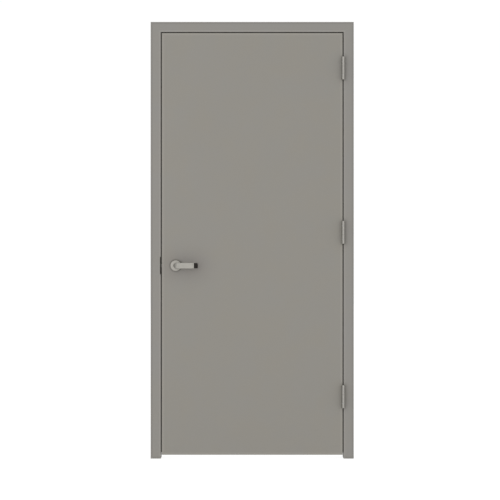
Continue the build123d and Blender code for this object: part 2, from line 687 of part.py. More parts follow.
def strike_plate():
    """The strike: a flat plate let into the rabbet, its lip curled round the frame's edge."""
    surface = STRIKE_RABBET_X
    front = LEAF_MIDDLE - STRIKE_WIDTH / 2
    back = LEAF_MIDDLE + STRIKE_WIDTH / 2
    plate = box_between(
        (surface - STRIKE_SHEET, front, LOCK_HEIGHT - STRIKE_HEIGHT / 2),
        (surface, back, LOCK_HEIGHT + STRIKE_HEIGHT / 2),
    )
    lip_end = surface - STRIKE_LIP_RADIUS - STRIKE_SHEET
    corners = [(surface, front + STRIKE_LIP_OVERLAP), (surface, PULL_FACE), (lip_end, PULL_FACE)]
    path = FilletPolyline(*corners, radius=STRIKE_LIP_RADIUS + STRIKE_SHEET / 2)
    lip = make_face(offset(path, amount=STRIKE_SHEET, side=Side.RIGHT))
    lip = extrude(lip, amount=STRIKE_LIP_HEIGHT).moved(Location((0, 0, LOCK_HEIGHT - STRIKE_LIP_HEIGHT / 2)))
    hole = latch_block(surface - STRIKE_SHEET - CUT_PAST, surface + CUT_PAST, STRIKE_HOLE_MARGIN)
    return plate + lip - hole


def build_strike():
    nodes["strike_plate"] = strike_plate()
    hole = latch_block(STRIKE_RABBET_X - BOX_DEPTH, STRIKE_RABBET_X + CUT_PAST, STRIKE_TAB_HOLE_MARGIN)
    tabs = joggled_plate(STRIKE_RABBET_X, -1, LOCK_HEIGHT, STRIKE_HEIGHT, STRIKE_SHEET,
                         FRAME_SHEET, LEAF_MIDDLE, LOCK_TAB_WIDTH, LOCK_TAB_SHEET)
    nodes["strike_reinforcement"] = tabs - hole

    outer = STRIKE_RABBET_X - STRIKE_SHEET - LOCK_TAB_SHEET
    half_y = LATCH_WIDTH / 2 + BOX_MARGIN_Y
    half_z = LATCH_HEIGHT / 2 + BOX_MARGIN_Z
    shell = box_between(
        (outer - BOX_DEPTH, LEAF_MIDDLE - half_y, LOCK_HEIGHT - half_z),
        (outer, LEAF_MIDDLE + half_y, LOCK_HEIGHT + half_z),
    )
    shell -= box_between(
        (outer - BOX_DEPTH + BOX_SHEET, LEAF_MIDDLE - half_y + BOX_SHEET, LOCK_HEIGHT - half_z + BOX_SHEET),
        (outer + CUT_PAST, LEAF_MIDDLE + half_y - BOX_SHEET, LOCK_HEIGHT + half_z - BOX_SHEET),
    )
    nodes["strike_box"] = shell


def main():
    build_frame()
    build_hinge_reinforcements()
    build_anchors()
    build_silencers()
    build_leaf()
    build_hinges()
    build_lock()
    build_strike()
    os.makedirs("parts", exist_ok=True)
    for name, solid in nodes.items():
        export_step(solid, f"parts/{name}.step")
        print(name, round(solid.volume / 1000, 1), "cm3")


main()
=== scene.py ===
import math

import bmesh
import bpy
from bpy.props import FloatProperty, FloatVectorProperty, IntProperty, PointerProperty
from bpy.types import Operator, Panel, PropertyGroup
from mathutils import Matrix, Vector


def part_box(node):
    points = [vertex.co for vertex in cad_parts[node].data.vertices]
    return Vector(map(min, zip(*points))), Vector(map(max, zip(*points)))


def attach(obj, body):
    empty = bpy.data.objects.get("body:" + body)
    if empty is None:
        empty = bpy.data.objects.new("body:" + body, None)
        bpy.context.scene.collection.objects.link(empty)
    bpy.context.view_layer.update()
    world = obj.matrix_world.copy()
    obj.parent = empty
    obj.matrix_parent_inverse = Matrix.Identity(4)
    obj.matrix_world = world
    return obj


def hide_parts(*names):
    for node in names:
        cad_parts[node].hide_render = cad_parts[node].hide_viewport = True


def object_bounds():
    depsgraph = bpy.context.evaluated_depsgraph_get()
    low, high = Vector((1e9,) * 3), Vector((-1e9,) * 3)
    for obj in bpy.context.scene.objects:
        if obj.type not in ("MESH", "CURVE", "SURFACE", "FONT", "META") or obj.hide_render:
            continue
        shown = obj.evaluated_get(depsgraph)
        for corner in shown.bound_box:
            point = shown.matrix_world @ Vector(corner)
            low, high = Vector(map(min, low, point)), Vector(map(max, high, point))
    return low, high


bl_info = {
    "name": "Steel fire door finish",
    "version": (1, 0, 0),
    "blender": (4, 5, 0),
    "location": "3D View > Sidebar > Fire Door",
    "description": "Dresses a flush steel fire door and its pressed frame with paint, hardware and fixings",
    "category": "Object",
}

# Metres, +Z up, +X towards the hinge side, +Y from the pull side to the push side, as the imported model.
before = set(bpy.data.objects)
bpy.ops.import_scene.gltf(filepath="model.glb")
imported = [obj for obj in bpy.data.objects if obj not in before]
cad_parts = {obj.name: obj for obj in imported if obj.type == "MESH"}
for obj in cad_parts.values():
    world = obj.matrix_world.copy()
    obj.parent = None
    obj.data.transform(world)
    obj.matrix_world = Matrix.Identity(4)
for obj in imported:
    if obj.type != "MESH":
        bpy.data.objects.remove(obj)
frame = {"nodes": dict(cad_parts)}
CAD_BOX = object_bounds()
DOOR_MIDDLE = (CAD_BOX[0].x + CAD_BOX[1].x) / 2

MM = 0.001

FRAME_SHEET = 1.5 * MM
FRAME_FACE = 50.8 * MM
STOP_HEIGHT = 15.9 * MM
JAMB_DEPTH = 146.05 * MM
PULL_RABBET = 49.5 * MM
SOFFIT_WIDTH = 56.85 * MM
OPENING_HEIGHT = 2133.6 * MM
OPENING_WIDTH = 914.4 * MM
PULL_FACE = -(PULL_RABBET + SOFFIT_WIDTH / 2)

HINGE_PLACES = ("top", "middle", "bottom")
HINGE_SHEET = 3.4 * MM
STRIKE_SHEET = 2.0 * MM
FACEPLATE_SHEET = 2.4 * MM
KNUCKLE_RADIUS = 7.2 * MM
NECK_CLEARANCE = 0.9 * MM

# Screw holes: height from the middle of the hinge, and distance in from the edge of its leaf
HINGE_HOLES = ((47.6 * MM, 11 * MM), (19 * MM, 28 * MM), (-19 * MM, 11 * MM), (-47.6 * MM, 28 * MM))
STRIKE_HOLE_HEIGHT = 52.4 * MM
FACEPLATE_HOLE_HEIGHT = 20.6 * MM
SCREW_HOLE_RADIUS = 2.9 * MM

UP = Vector((0, 0, 1))
TO_HINGES = Vector((1, 0, 0))
THROUGH_LEAF = Vector((0, 100 * MM, 0))
WHITE = (1, 1, 1, 1)


# Sizes and colours that a user would change

def colour_value(name, description, *default):
    return FloatVectorProperty(name=name, description=description, default=default, subtype="COLOR", size=3,
                               min=0, max=1)


def number_value(name, description, default, low, high, unit="NONE"):
    return FloatProperty(name=name, description=description, default=default, min=low, max=high, unit=unit,
                         precision=5)


def length_value(name, description, default, low, high):
    """A small length, given in millimetres."""
    return number_value(name, description, default * MM, low * MM, high * MM, "LENGTH")


class FireDoorColours(PropertyGroup):
    leaf: colour_value("Leaf paint", "Baked paint on the leaf's sheets", 0.284, 0.269, 0.238)
    frame: colour_value("Frame paint", "Baked paint on the pressed frame", 0.280, 0.267, 0.245)
    primer: colour_value("Primer", "Matt primer on the hidden steel", 0.235, 0.235, 0.225)
    lever: colour_value("Lever metal", "Satin metal of the levers and roses", 0.338, 0.326, 0.297)
    hinge: colour_value("Hinge steel", "Satin steel of the hinge leaves and knuckles", 0.40, 0.385, 0.355)
    bright: colour_value("Bright steel", "Pins, screws, latch bolt and lock steel", 0.50, 0.49, 0.47)
    tip: colour_value("Lever tip", "Black rubber at the levers' ends", 0.0115, 0.0078, 0.0055)
    strike: colour_value("Strike", "Dark oxidised steel of the strike", 0.085, 0.08, 0.07)
    rubber: colour_value("Silencer rubber", "Grey rubber of the silencers", 0.10, 0.10, 0.095)


class FireDoorSizes(PropertyGroup):
    soft_edge: length_value("Hardware edge", "Width of the softened edges on flat hardware", 0.35, 0.05, 0.8)
    grip_corner: length_value("Grip corner", "Corner radius of the lever bar's section", 1.1, 1, 7)
    tip_corner: length_value("Tip corner", "Radius of the black end's rounding", 5, 1, 7)
    rose_edge: length_value("Rose edge", "Radius of the rose's rounded rim", 2.6, 0.5, 4)
    screw_head: length_value("Screw head", "Radius of a countersunk screw's head", 4.8, 3, 6)
    screw_recess: length_value("Cross recess", "Length of the recess in a screw's head", 5.4, 2, 8)
    weld_nugget: length_value("Spot weld", "Radius of a spot weld's nugget", 3, 1, 5)
    weld_bead: length_value("Weld bead", "Width of the bead behind the mitres", 5, 2, 8)
    screw_seed: IntProperty(name="Screw turns", description="Seed for how far each screw is turned",
                            default=7, min=0)


class FireDoorStage(PropertyGroup):
    view_height: number_value("View height", "Height of the camera above the floor", 1.0435, 0, 3, "LENGTH")
    view_shift: number_value("View offset", "How far the camera stands to the strike side of the middle",
                             0.011, -1, 1, "LENGTH")
    view_width: number_value("View width", "Width of the view at the pull face", 2.501, 1, 6, "LENGTH")
    lens: number_value("Lens", "Focal length in millimetres", 200, 35, 400)
    sky: number_value("Surround light", "Strength of the even white light from all round", 0.80, 0, 3)
    front: number_value("Front light", "Power of the large soft light in front", 134, 0, 5000, "POWER")


# Nodes in shader and geometry trees

VECTOR = "NodeSocketVector"
MATERIAL = "NodeSocketMaterial"
GEOMETRY = "NodeSocketGeometry"


def sign(operation, reverse=False):
    """A method that adds one Math node."""
    def calculate(self, *values):
        terms = (*values, self) if reverse else (self, *values)
        return self.bench.math(operation, *terms)
    return calculate


class Wire:
    """A node's output, which takes plain arithmetic."""

    __add__ = sign("ADD")
    __sub__ = sign("SUBTRACT")
    __rsub__ = sign("SUBTRACT", reverse=True)
    __mul__ = sign("MULTIPLY")
    __truediv__ = sign("DIVIDE")
    __gt__ = sign("GREATER_THAN")
    __lt__ = sign("LESS_THAN")
    __abs__ = sign("ABSOLUTE")

    def __init__(self, bench, socket):
        self.bench = bench
        self.socket = socket

    def fade(self):
        """1 where this is 0 or less, falling to 0 where this is 1 or more."""
        return self.bench.math("SUBTRACT", 1.0, self, clamp=True)

    def remap(self, low, high, to_low=0.0, to_high=1.0):
        return self.bench.read("ShaderNodeMapRange", "Result", {
            "Value": self, "From Min": low, "From Max": high, "To Min": to_low, "To Max": to_high})


def spaced(inputs):
    """Inputs under their sockets' names, which have spaces where keywords have underscores."""
    return {key.replace("_", " "): value for key, value in inputs.items()}


class Bench:
    """Adds nodes to one tree and joins them. An input is fed by name or number, with a wire or a value."""

    COLUMN = 190
    ROWS = 6
    ROW = 210
    LAST_COLUMN = 1600

    def __init__(self, tree):
        self.tree = tree
        self.count = 0

    def feed(self, socket, value):
        if isinstance(value, Wire):
            self.tree.links.new(value.socket, socket)
        else:
            socket.default_value = value

    def add(self, kind, inputs=None, **settings):
        node = self.tree.nodes.new(kind)
        node.location = (self.COLUMN * (self.count // self.ROWS), -self.ROW * (self.count % self.ROWS))
        self.count += 1
        for key, value in settings.items():
            setattr(node, key, value)
        for key, value in (inputs or {}).items():
            self.feed(node.inputs[key], value)
        return node

    def read(self, kind, output=0, inputs=None, **settings):
        """One output of a new node."""
        return Wire(self, self.add(kind, inputs, **settings).outputs[output])

    def wires(self, node):
        """All outputs of a node by name."""
        return {socket.name: Wire(self, socket) for socket in node.outputs}

    def math(self, operation, *values, clamp=False):
        return self.read("ShaderNodeMath", 0, dict(enumerate(values)), operation=operation, use_clamp=clamp)

    def vector(self, operation, *values, output="Vector"):
        return self.read("ShaderNodeVectorMath", output, dict(enumerate(values)), operation=operation)

    def combine(self, x=0.0, y=0.0, z=0.0):
        return self.read("ShaderNodeCombineXYZ", 0, {"X": x, "Y": y, "Z": z})

    def split(self, vector):
        return self.wires(self.add("ShaderNodeSeparateXYZ", {0: vector}))

    def shade(self, colour, by):
        return self.read("ShaderNodeVectorMath", 0, {0: colour, "Scale": by}, operation="SCALE")

    def mix(self, factor, first, second, blend="MIX"):
        return self.read("ShaderNodeMix", 2, {0: factor, 6: first, 7: second}, data_type="RGBA",
                         blend_type=blend)

    def noise(self, place, scale, detail=2.0, roughness=0.5):
        return self.read("ShaderNodeTexNoise", 0, {
            "Vector": place, "Scale": scale, "Detail": detail, "Roughness": roughness})

    def draw(self, seed, low, high):
        """A number drawn between two others for each point."""
        return self.read("FunctionNodeRandomValue", 1, {2: low, 3: high, "Seed": seed}, data_type="FLOAT")

    def group(self, name, place, **inputs):
        """The outputs of a shader group that reads coordinates."""
        given = {"Coordinates": place, **spaced(inputs)}
        return self.wires(self.add("ShaderNodeGroup", given, node_tree=bpy.data.node_groups[name]))

    def mask(self, name, place, **inputs):
        return self.group(name, place, **inputs)["Mask"]

    def give(self, **results):
        """Makes the tree's outputs: a colour, a geometry, and numbers under any other name."""
        kinds = {"Color": "NodeSocketColor", "Geometry": GEOMETRY}
        for name in results:
            kind = kinds.get(name, "NodeSocketFloat")
            self.tree.interface.new_socket(name, in_out="OUTPUT", socket_type=kind)
        end = self.tree.nodes.new("NodeGroupOutput")
        end.location = (self.LAST_COLUMN, 0)
        for name, wire in results.items():
            self.feed(end.inputs[name], wire)


def socket_kind(value):
    """The kind of socket that holds a value. A name of a kind stays as it is."""
    if isinstance(value, str):
        return value
    if isinstance(value, tuple):
        return "NodeSocketColor" if len(value) == 4 else VECTOR
    return "NodeSocketInt" if isinstance(value, int) else "NodeSocketFloat"


def new_tree(kind, name, inputs):
    """A new node group, as its bench and its inputs. Each input is given by its default or its kind."""
    tree = bpy.data.node_groups.new(name, kind)
    for label, value in inputs.items():
        socket = tree.interface.new_socket(label, in_out="INPUT", socket_type=socket_kind(value))
        if not isinstance(value, str):
            socket.default_value = value
    bench = Bench(tree)
    return bench, bench.wires(bench.add("NodeGroupInput"))


def shader_tree(name, **inputs):
    """A new shader group that reads coordinates, with its inputs' defaults."""
    bench, given = new_tree("ShaderNodeTree", name, {"Coordinates": VECTOR, **spaced(inputs)})
    return bench, given, given["Coordinates"]


def between(given, share):
    """A roughness between the group's smoothest and roughest."""
    return share * (given["Roughest"] - given["Smoothest"]) + given["Smoothest"]


def build_paint_film():
    """Baked paint: faint cloudy shade, a warm and cool drift, and orange peel."""
    bench, given, place = shader_tree(
        "Paint film", Paint=(0.3, 0.3, 0.3, 1), Cloud_Depth=0.02, Cloud_Scale=3.0, Peel_Scale=420.0,
        Smoothest=0.4, Roughest=0.55)
    clouds = bench.noise(place, given["Cloud Scale"], 4.0, 0.6)
    drift = bench.noise(place, given["Cloud Scale"] * 2.7)
    grain = bench.noise(place, given["Peel Scale"] * 0.55, 3.0, 0.7)
    lift = clouds.remap(0.3, 0.7, -1.0, 1.0) * given["Cloud Depth"]
    fine = grain.remap(0.3, 0.7, -0.6, 0.6) * given["Cloud Depth"]
    tint = bench.mix(drift.remap(0.35, 0.65), (1.006, 1.0, 0.988, 1), (0.994, 1.0, 1.012, 1))
    toned = bench.mix(1.0, given["Paint"], tint, "MULTIPLY")
    bench.give(Color=bench.shade(toned, lift + fine + 1.0),
               Roughness=between(given, (clouds + grain * 0.4).remap(0.45, 0.95)),
               Height=bench.noise(place, given["Peel Scale"], 1.0))


def build_panel_rim():
    """A mask that is 1 in a band that follows a panel's four edges, and fades to both sides of the band."""
    bench, given, place = shader_tree(
        "Panel rim", Low_Corner=(0, 0, 0), High_Corner=(1, 1, 1), Inset=0.0, Half_Width=0.004, Fade=0.004)
    low = bench.split(bench.vector("SUBTRACT", place, given["Low Corner"]))
    high = bench.split(bench.vector("SUBTRACT", given["High Corner"], place))
    nearest = bench.math("MINIMUM", bench.math("MINIMUM", low["X"], high["X"]),
                         bench.math("MINIMUM", low["Z"], high["Z"]))
    away = abs(abs(nearest) - given["Inset"])
    bench.give(Mask=((away - given["Half Width"]) / given["Fade"]).fade())


def build_frame_hollow():
    """A mask of the frame's wall side, which the finish coat doesn't reach."""
    bench, given, place = shader_tree(
        "Frame hollow", Middle=DOOR_MIDDLE, Half_Opening=OPENING_WIDTH / 2, Opening_Height=OPENING_HEIGHT,
        Depth=JAMB_DEPTH, Depth_Middle=PULL_FACE + JAMB_DEPTH / 2, Face=FRAME_FACE, Stop=STOP_HEIGHT,
        Soffit=SOFFIT_WIDTH, Sheet=FRAME_SHEET)
    at = bench.split(place)
    skin = given["Sheet"] * 0.5
    aside = abs(at["X"] - given["Middle"]) - given["Half Opening"]
    outward = bench.math("MAXIMUM", aside, at["Z"] - given["Opening Height"])
    before_lip = outward < given["Face"] - skin
    in_depth = abs(at["Y"] - given["Depth Middle"]) < given["Depth"] * 0.5 - skin
    in_soffit = abs(at["Y"]) < given["Soffit"] * 0.5 - skin
    face_hollow = (outward > skin) * before_lip * in_depth
    stop_hollow = (outward + given["Stop"] > skin) * in_soffit * before_lip
    bench.give(Mask=bench.math("MAXIMUM", face_hollow, stop_hollow))


def build_metal_grain():
    """Satin metal: fine drawn grain along one direction, with a soft stain of handling."""
    bench, given, place = shader_tree(
        "Metal grain", Metal=(0.5, 0.5, 0.5, 1), Draw=(1, 1, 1), Depth=0.05, Smoothest=0.25, Roughest=0.4)
    lines = bench.noise(bench.vector("MULTIPLY", place, given["Draw"]), 1.0, 3.0, 0.65)
    stain = bench.noise(place, 38.0, 3.0, 0.6)
    lift = lines.remap(0.3, 0.7, -1.0, 1.0) * given["Depth"]
    dull = stain.remap(0.35, 0.7) * given["Depth"]
    bench.give(Color=bench.shade(given["Metal"], lift - dull + 1.0),
               Roughness=between(given, lines * 0.6 + stain * 0.4),
               Height=lines)


def build_edge_wear():
    """A broken mask along the sharp edges of a piece."""
    bench, given, place = shader_tree("Edge wear", Reach=0.0008, Break_Scale=260.0, Amount=1.0)
    rounded = bench.read("ShaderNodeBevel", 0, {"Radius": given["Reach"]}, samples=6)
    true_normal = bench.read("ShaderNodeNewGeometry", "Normal")
    edge = (1.0 - bench.vector("DOT_PRODUCT", rounded, true_normal, output="Value")).remap(0.01, 0.12)
    breaks = bench.noise(place, given["Break Scale"], 4.0, 0.7).remap(0.38, 0.62)
    bench.give(Mask=bench.math("MULTIPLY", edge * breaks, given["Amount"], clamp=True))


def build_settled_dust():
    """A mask of dust on upward faces and of scuffs close to the floor."""
    bench, given, place = shader_tree("Settled dust", Floor_Band=0.12, Amount=1.0)
    upward = bench.split(bench.read("ShaderNodeNewGeometry", "Normal"))["Z"].remap(0.55, 0.95)
    low = (bench.split(place)["Z"] / given["Floor Band"]).fade()
    patches = bench.noise(place, 22.0, 5.0, 0.65).remap(0.4, 0.7)
    both = bench.math("MAXIMUM", upward, low * 0.5)
    bench.give(Mask=bench.math("MULTIPLY", both * patches, given["Amount"], clamp=True))


def build_painted_shade_patch():
    """A mask for painted shade: 1 in a box whose edges are rounded by a radius, fading away from it."""
    bench, given, place = shader_tree(
        "Painted shade patch", Centre=(0, 0, 0), Half_Size=(0, 0, 0), Radius=0.01, Reach=0.01)
    apart = bench.vector("ABSOLUTE", bench.vector("SUBTRACT", place, given["Centre"]))
    past = bench.split(bench.vector("SUBTRACT", apart, given["Half Size"]))
    outside = bench.combine(*[bench.math("MAXIMUM", past[axis], 0.0) for axis in "XYZ"])
    distance = bench.vector("LENGTH", outside, output="Value")
    beyond = bench.math("MAXIMUM", distance - given["Radius"], 0.0)
    bench.give(Mask=bench.math("POWER", (beyond / given["Reach"]).fade(), 2.0))


def build_crest():
    """A mask for a painted highlight: 1 on a knuckle's outer crest and 0 on its flanks."""
    bench, given, place = shader_tree(
        "Knuckle crest", Axis=0.0, Bright_Half_Width=4 * MM, Radius=KNUCKLE_RADIUS)
    across = abs(bench.split(place)["X"] - given["Axis"])
    bench.give(Mask=across.remap(given["Bright Half Width"], given["Radius"], 1.0, 0.0))


SHADER_GROUPS = (build_paint_film, build_panel_rim, build_frame_hollow, build_metal_grain, build_edge_wear,
                 build_settled_dust, build_painted_shade_patch, build_crest)


# Materials

def opaque(colour):
    return (*colour, 1.0)


def grey(level):
    return (level, level, level, 1.0)


def warm_grey(level):
    return (level, level, 0.98 * level)


def darker(colour, share):
    return [share * part for part in colour]


def blank_material(name):
    """A new material, its bench, its Object coordinates and its shader's inputs."""
    material = bpy.data.materials.new(name)
    material.use_nodes = True
    material.node_tree.nodes.clear()
    bench = Bench(material.node_tree)
    place = bench.read("ShaderNodeTexCoord", "Object")
    shader = bench.add("ShaderNodeBsdfPrincipled")
    shader.location = (bench.LAST_COLUMN - 300, 0)
    output = bench.add("ShaderNodeOutputMaterial", {0: Wire(bench, shader.outputs[0])})
    output.location = (bench.LAST_COLUMN, 0)
    return material, bench, place, shader.inputs


def dress(bench, shader, colour, rough, height, strength, distance):
    """Feeds a shader its colour, its roughness and a bump."""
    bump = bench.read("ShaderNodeBump", 0, {"Strength": strength, "Distance": distance, "Height": height})
    bench.feed(shader["Base Color"], colour)
    bench.feed(shader["Roughness"], rough)
    bench.feed(shader["Normal"], bump)


def lay_painted_shade(bench, place, colour, painted_shade):
    """Multiplies a colour by each patch of painted shade, which is (centre, half size, radius, reach, shade).
    """
    for centre, half, radius, reach, shade in painted_shade:
        mask = bench.mask("Painted shade patch", place, Centre=centre, Half_Size=half, Radius=radius, Reach=reach)
        colour = bench.mix(mask, colour, opaque(shade), "MULTIPLY")
    return colour


def paint_material(name, paint, cloud_depth=0.014, dust=0.10, rims=(), primer=None, painted_shade=(),
                   smoothest=0.42, roughest=0.56):
    """Baked paint, with painted shade and painted highlight bands along panel edges and painted shade round
    hardware. Primer coats the wall side.
    """
    material, bench, place, shader = blank_material(name)
    film = bench.group("Paint film", place, Paint=opaque(paint), Cloud_Depth=cloud_depth,
                       Smoothest=smoothest, Roughest=roughest)
    colour = film["Color"]
    rough = film["Roughness"]
    # A rim whose shade is below 1 is painted shade along the edges; above 1 it is a painted highlight.
    for low, high, inset, half_width, fade, shade in rims:
        mask = bench.mask("Panel rim", place, Low_Corner=low, High_Corner=high, Inset=inset,
                          Half_Width=half_width, Fade=fade)
        colour = bench.mix(mask, colour, grey(shade), "MULTIPLY")
    colour = lay_painted_shade(bench, place, colour, painted_shade)
    if primer is not None:
        mask = bench.mask("Frame hollow", place)
        coat = bench.group("Paint film", place, Paint=opaque(primer), Cloud_Depth=0.10, Cloud_Scale=9.0,
                           Smoothest=0.7, Roughest=0.85)
        colour = bench.mix(mask, colour, coat["Color"])
        rough = bench.read("ShaderNodeMix", 0, {0: mask, 2: rough, 3: coat["Roughness"]}, data_type="FLOAT")
    settled = bench.mask("Settled dust", place, Amount=dust)
    colour = bench.mix(settled, colour, (0.42, 0.40, 0.36, 1))
    rough = bench.math("ADD", rough, settled * 0.5, clamp=True)
    dress(bench, shader, colour, rough, film["Height"], 0.10, 0.2 * MM)
    return material


def metal_material(name, metal, draw, depth=0.06, smoothest=0.28, roughest=0.42, wear=0.35,
                   worn=(0.62, 0.60, 0.57), metallic=1.0, crest=None, painted_shade=()):
    """Satin metal with grain, stain, painted shade patches and edges rubbed bright. Crest is the X of a
    painted highlight along the knuckles, with painted shade on their flanks.
    """
    material, bench, place, shader = blank_material(name)
    grain = bench.group("Metal grain", place, Metal=opaque(metal), Draw=draw, Depth=depth,
                        Smoothest=smoothest, Roughest=roughest)
    colour = grain["Color"]
    if crest is not None:
        # Painted highlight on the knuckle's crest and painted shade on its flanks.
        bright = bench.mask("Knuckle crest", place, Axis=crest)
        colour = bench.mix(1.0, colour, bench.mix(bright, grey(0.42), grey(1.08)), "MULTIPLY")
    colour = lay_painted_shade(bench, place, colour, painted_shade)
    mask = bench.mask("Edge wear", place, Amount=wear)
    rough = bench.math("SUBTRACT", grain["Roughness"], mask * 0.08, clamp=True)
    shader["Metallic"].default_value = metallic
    dress(bench, shader, bench.mix(mask, colour, opaque(worn)), rough, grain["Height"], 0.12, 0.08 * MM)
    return material


def rubber_material(name, rubber, bloom, sheen=0.5):
    """Moulded rubber: matt skin, a dusty bloom and a fine mould texture."""
    material, bench, place, shader = blank_material(name)
    skin = bench.noise(place, 900.0, 2.0, 0.6)
    blooming = bench.noise(place, 70.0, 4.0, 0.6).remap(0.4, 0.75)
    wear = bench.mask("Edge wear", place, Reach=1.2 * MM, Amount=0.5)
    share = bench.math("MAXIMUM", blooming * 0.35, wear)
    shader["Specular IOR Level"].default_value = sheen
    dress(bench, shader, bench.mix(share, opaque(rubber), opaque(bloom)), skin.remap(0.3, 0.7, 0.48, 0.66),
          skin, 0.2, 0.1 * MM)
    return material


def honeycomb_material(name):
    """Kraft paper honeycomb, seen only where the core is bare."""
    material, bench, place, shader = blank_material(name)
    flat = bench.vector("MULTIPLY", place, (1.0, 0.0, 1.0))
    cells = bench.read("ShaderNodeTexVoronoi", "Distance", {"Vector": flat, "Scale": 45.0},
                       feature="DISTANCE_TO_EDGE")
    wall = cells.remap(0.02, 0.07, 1.0, 0.0)
    fibres = bench.noise(bench.vector("MULTIPLY", place, (400.0, 60.0, 400.0)), 1.0, 3.0)
    paper = bench.mix(fibres, (0.40, 0.28, 0.17, 1), (0.54, 0.41, 0.27, 1))
    # Painted shade in the open hollows of the cells.
    hollow = bench.mix(0.65, paper, (0.05, 0.035, 0.02, 1))
    dress(bench, shader, bench.mix(wall, hollow, paper), fibres.remap(0.3, 0.7, 0.8, 0.95), wall, 0.6, 1 * MM)
    return material


def weld_material(name):
    """Bare weld metal with heat tint."""
    material, bench, place, shader = blank_material(name)
    tint = bench.noise(place, 260.0, 3.0, 0.6).remap(0.35, 0.65)
    colour = bench.mix(tint, (0.16, 0.14, 0.12, 1), (0.30, 0.27, 0.24, 1))
    shader["Metallic"].default_value = 0.8
    dress(bench, shader, colour, tint.remap(0.0, 1.0, 0.38, 0.6), bench.noise(place, 1500.0), 0.3, 0.1 * MM)
    return material


# Meshes and pieces

def coat_nodes(material, *nodes):
    """Gives carried-over CAD nodes their material."""
    for node in nodes:
        piece = frame["nodes"][node]
        if not piece.material_slots:
            piece.data.materials.append(None)
        for held in piece.material_slots:
            held.link = "OBJECT"
            held.material = material


def hold(name, mesh):
    """Puts a mesh in the scene on an object of its own."""
    holder = bpy.data.objects.new(name, mesh)
    bpy.context.scene.collection.objects.link(holder)
    return holder


def settle(holder, name):
    """Takes an object out of the scene and keeps the plain mesh that its modifiers made."""
    bpy.context.view_layer.update()
    made = bpy.data.meshes.new_from_object(holder.evaluated_get(bpy.context.evaluated_depsgraph_get()))
    made.name = name
    bpy.data.objects.remove(holder)
    return made


def add_piece(name, mesh, body, slot, *nodes):
    """Puts a finished mesh in the scene on its body, in place of CAD nodes where they are named."""
    piece = hold(name, mesh)
    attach(piece, body)
    if nodes:
        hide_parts(*nodes)


def closed_mesh(work, name):
    """Turns a bmesh into a mesh, with its doubles merged and its normals outwards."""
    bmesh.ops.remove_doubles(work, verts=work.verts, dist=1e-6)
    bmesh.ops.recalc_face_normals(work, faces=work.faces)
    mesh = bpy.data.meshes.new(name)
    work.to_mesh(mesh)
    work.free()
    return mesh


def smooth_mesh(work, name, material, sharp_angle=35.0):
    """Turns a bmesh into a smooth-shaded mesh with its material."""
    for face in work.faces:
        face.smooth = True
    mesh = closed_mesh(work, name)
    mesh.materials.append(material)
    return level_normals(mesh, sharp_angle)


def level_normals(mesh, sharp_angle=35.0):
    """Weights a mesh's normals by face area, so that flat faces stay flat beside rounded edges."""
    mesh.set_sharp_from_angle(angle=math.radians(sharp_angle))
    holder = hold("holder", mesh)
    weighted = holder.modifiers.new("weighted", "WEIGHTED_NORMAL")
    weighted.mode = "FACE_AREA"
    weighted.weight = 100
    weighted.keep_sharp = True
    return settle(holder, mesh.name)


def lathe(work, profile, centre, axis, segments):
    """Turns a profile of (radius, height) points round an axis. Points on the axis close the solid."""
    height_axis = Vector(axis).normalized()
    side = height_axis.orthogonal().normalized()
    front = height_axis.cross(side)
    rings = []
    for radius, height in profile:
        middle = Vector(centre) + height_axis * height
        turns = [2 * math.pi * step / segments for step in range(segments if radius else 1)]
        rings.append([work.verts.new(middle + (side * math.cos(turn) + front * math.sin(turn)) * radius)
                      for turn in turns])
    later_rings = rings[1:] + rings[:1] if profile[0][0] else rings[1:]
    for first, second in zip(rings, later_rings):
        for step in range(segments):
            later = (step + 1) % segments
            corners = [first[step % len(first)], second[step % len(second)],
                       second[later % len(second)], first[later % len(first)]]
            unique = list(dict.fromkeys(corners))
            if len(unique) > 2:
                work.faces.new(unique)


def quarter_turn(steps, first=0):
    """The angles of a quarter turn, both ends included. First is the number of quarters before it."""
    return [math.pi / 2 * (first + step / steps) for step in range(steps + 1)]


def rounded_section(half_across, half_up, corner):
    """A rounded rectangle's points, as (across, up), going round once."""
    points = []
    for quarter, (side_across, side_up) in enumerate(((1, 1), (-1, 1), (-1, -1), (1, -1))):
        for angle in quarter_turn(6, quarter):
            points.append((side_across * (half_across - corner) + corner * math.cos(angle),
                           side_up * (half_up - corner) + corner * math.sin(angle)))
    return points


def loft(sections):
    """Skins closed sections in order and caps both ends. A section is (centre, across, points)."""
    work = bmesh.new()
    rings = []
    for centre, across, points in sections:
        rings.append([work.verts.new(centre + across * a + UP * b) for a, b in points])
    for first, second in zip(rings, rings[1:]):
        for index in range(len(first)):
            later = (index + 1) % len(first)
            work.faces.new((first[index], first[later], second[later], second[index]))
    work.faces.new(rings[0])
    work.faces.new(rings[-1])
    return work


def cut_with(mesh, cutters, name):
    """A mesh with the cutters' space taken out of it."""
    body = hold(name, mesh)
    tool = hold("cutter", cutters)
    cut = body.modifiers.new("cut", "BOOLEAN")
    cut.operation = "DIFFERENCE"
    cut.solver = "EXACT"
    cut.object = tool
    made = settle(body, name)
    bpy.data.objects.remove(tool)
    bpy.data.meshes.remove(cutters)
    return made


def countersink_cutters(places, head_radius, sheet):
    """One mesh of all the countersinks that the screws sit in."""
    rim = head_radius + 0.35 * MM
    proud = 1 * MM
    depth = sheet + 0.5 * MM
    profile = [(0, proud), (rim + proud, proud), (rim, 0), (SCREW_HOLE_RADIUS, SCREW_HOLE_RADIUS - rim),
               (SCREW_HOLE_RADIUS, -depth), (0, -depth)]
    work = bmesh.new()
    for place, facing in places:
        lathe(work, profile, place, facing, 28)
    return closed_mesh(work, "countersinks")


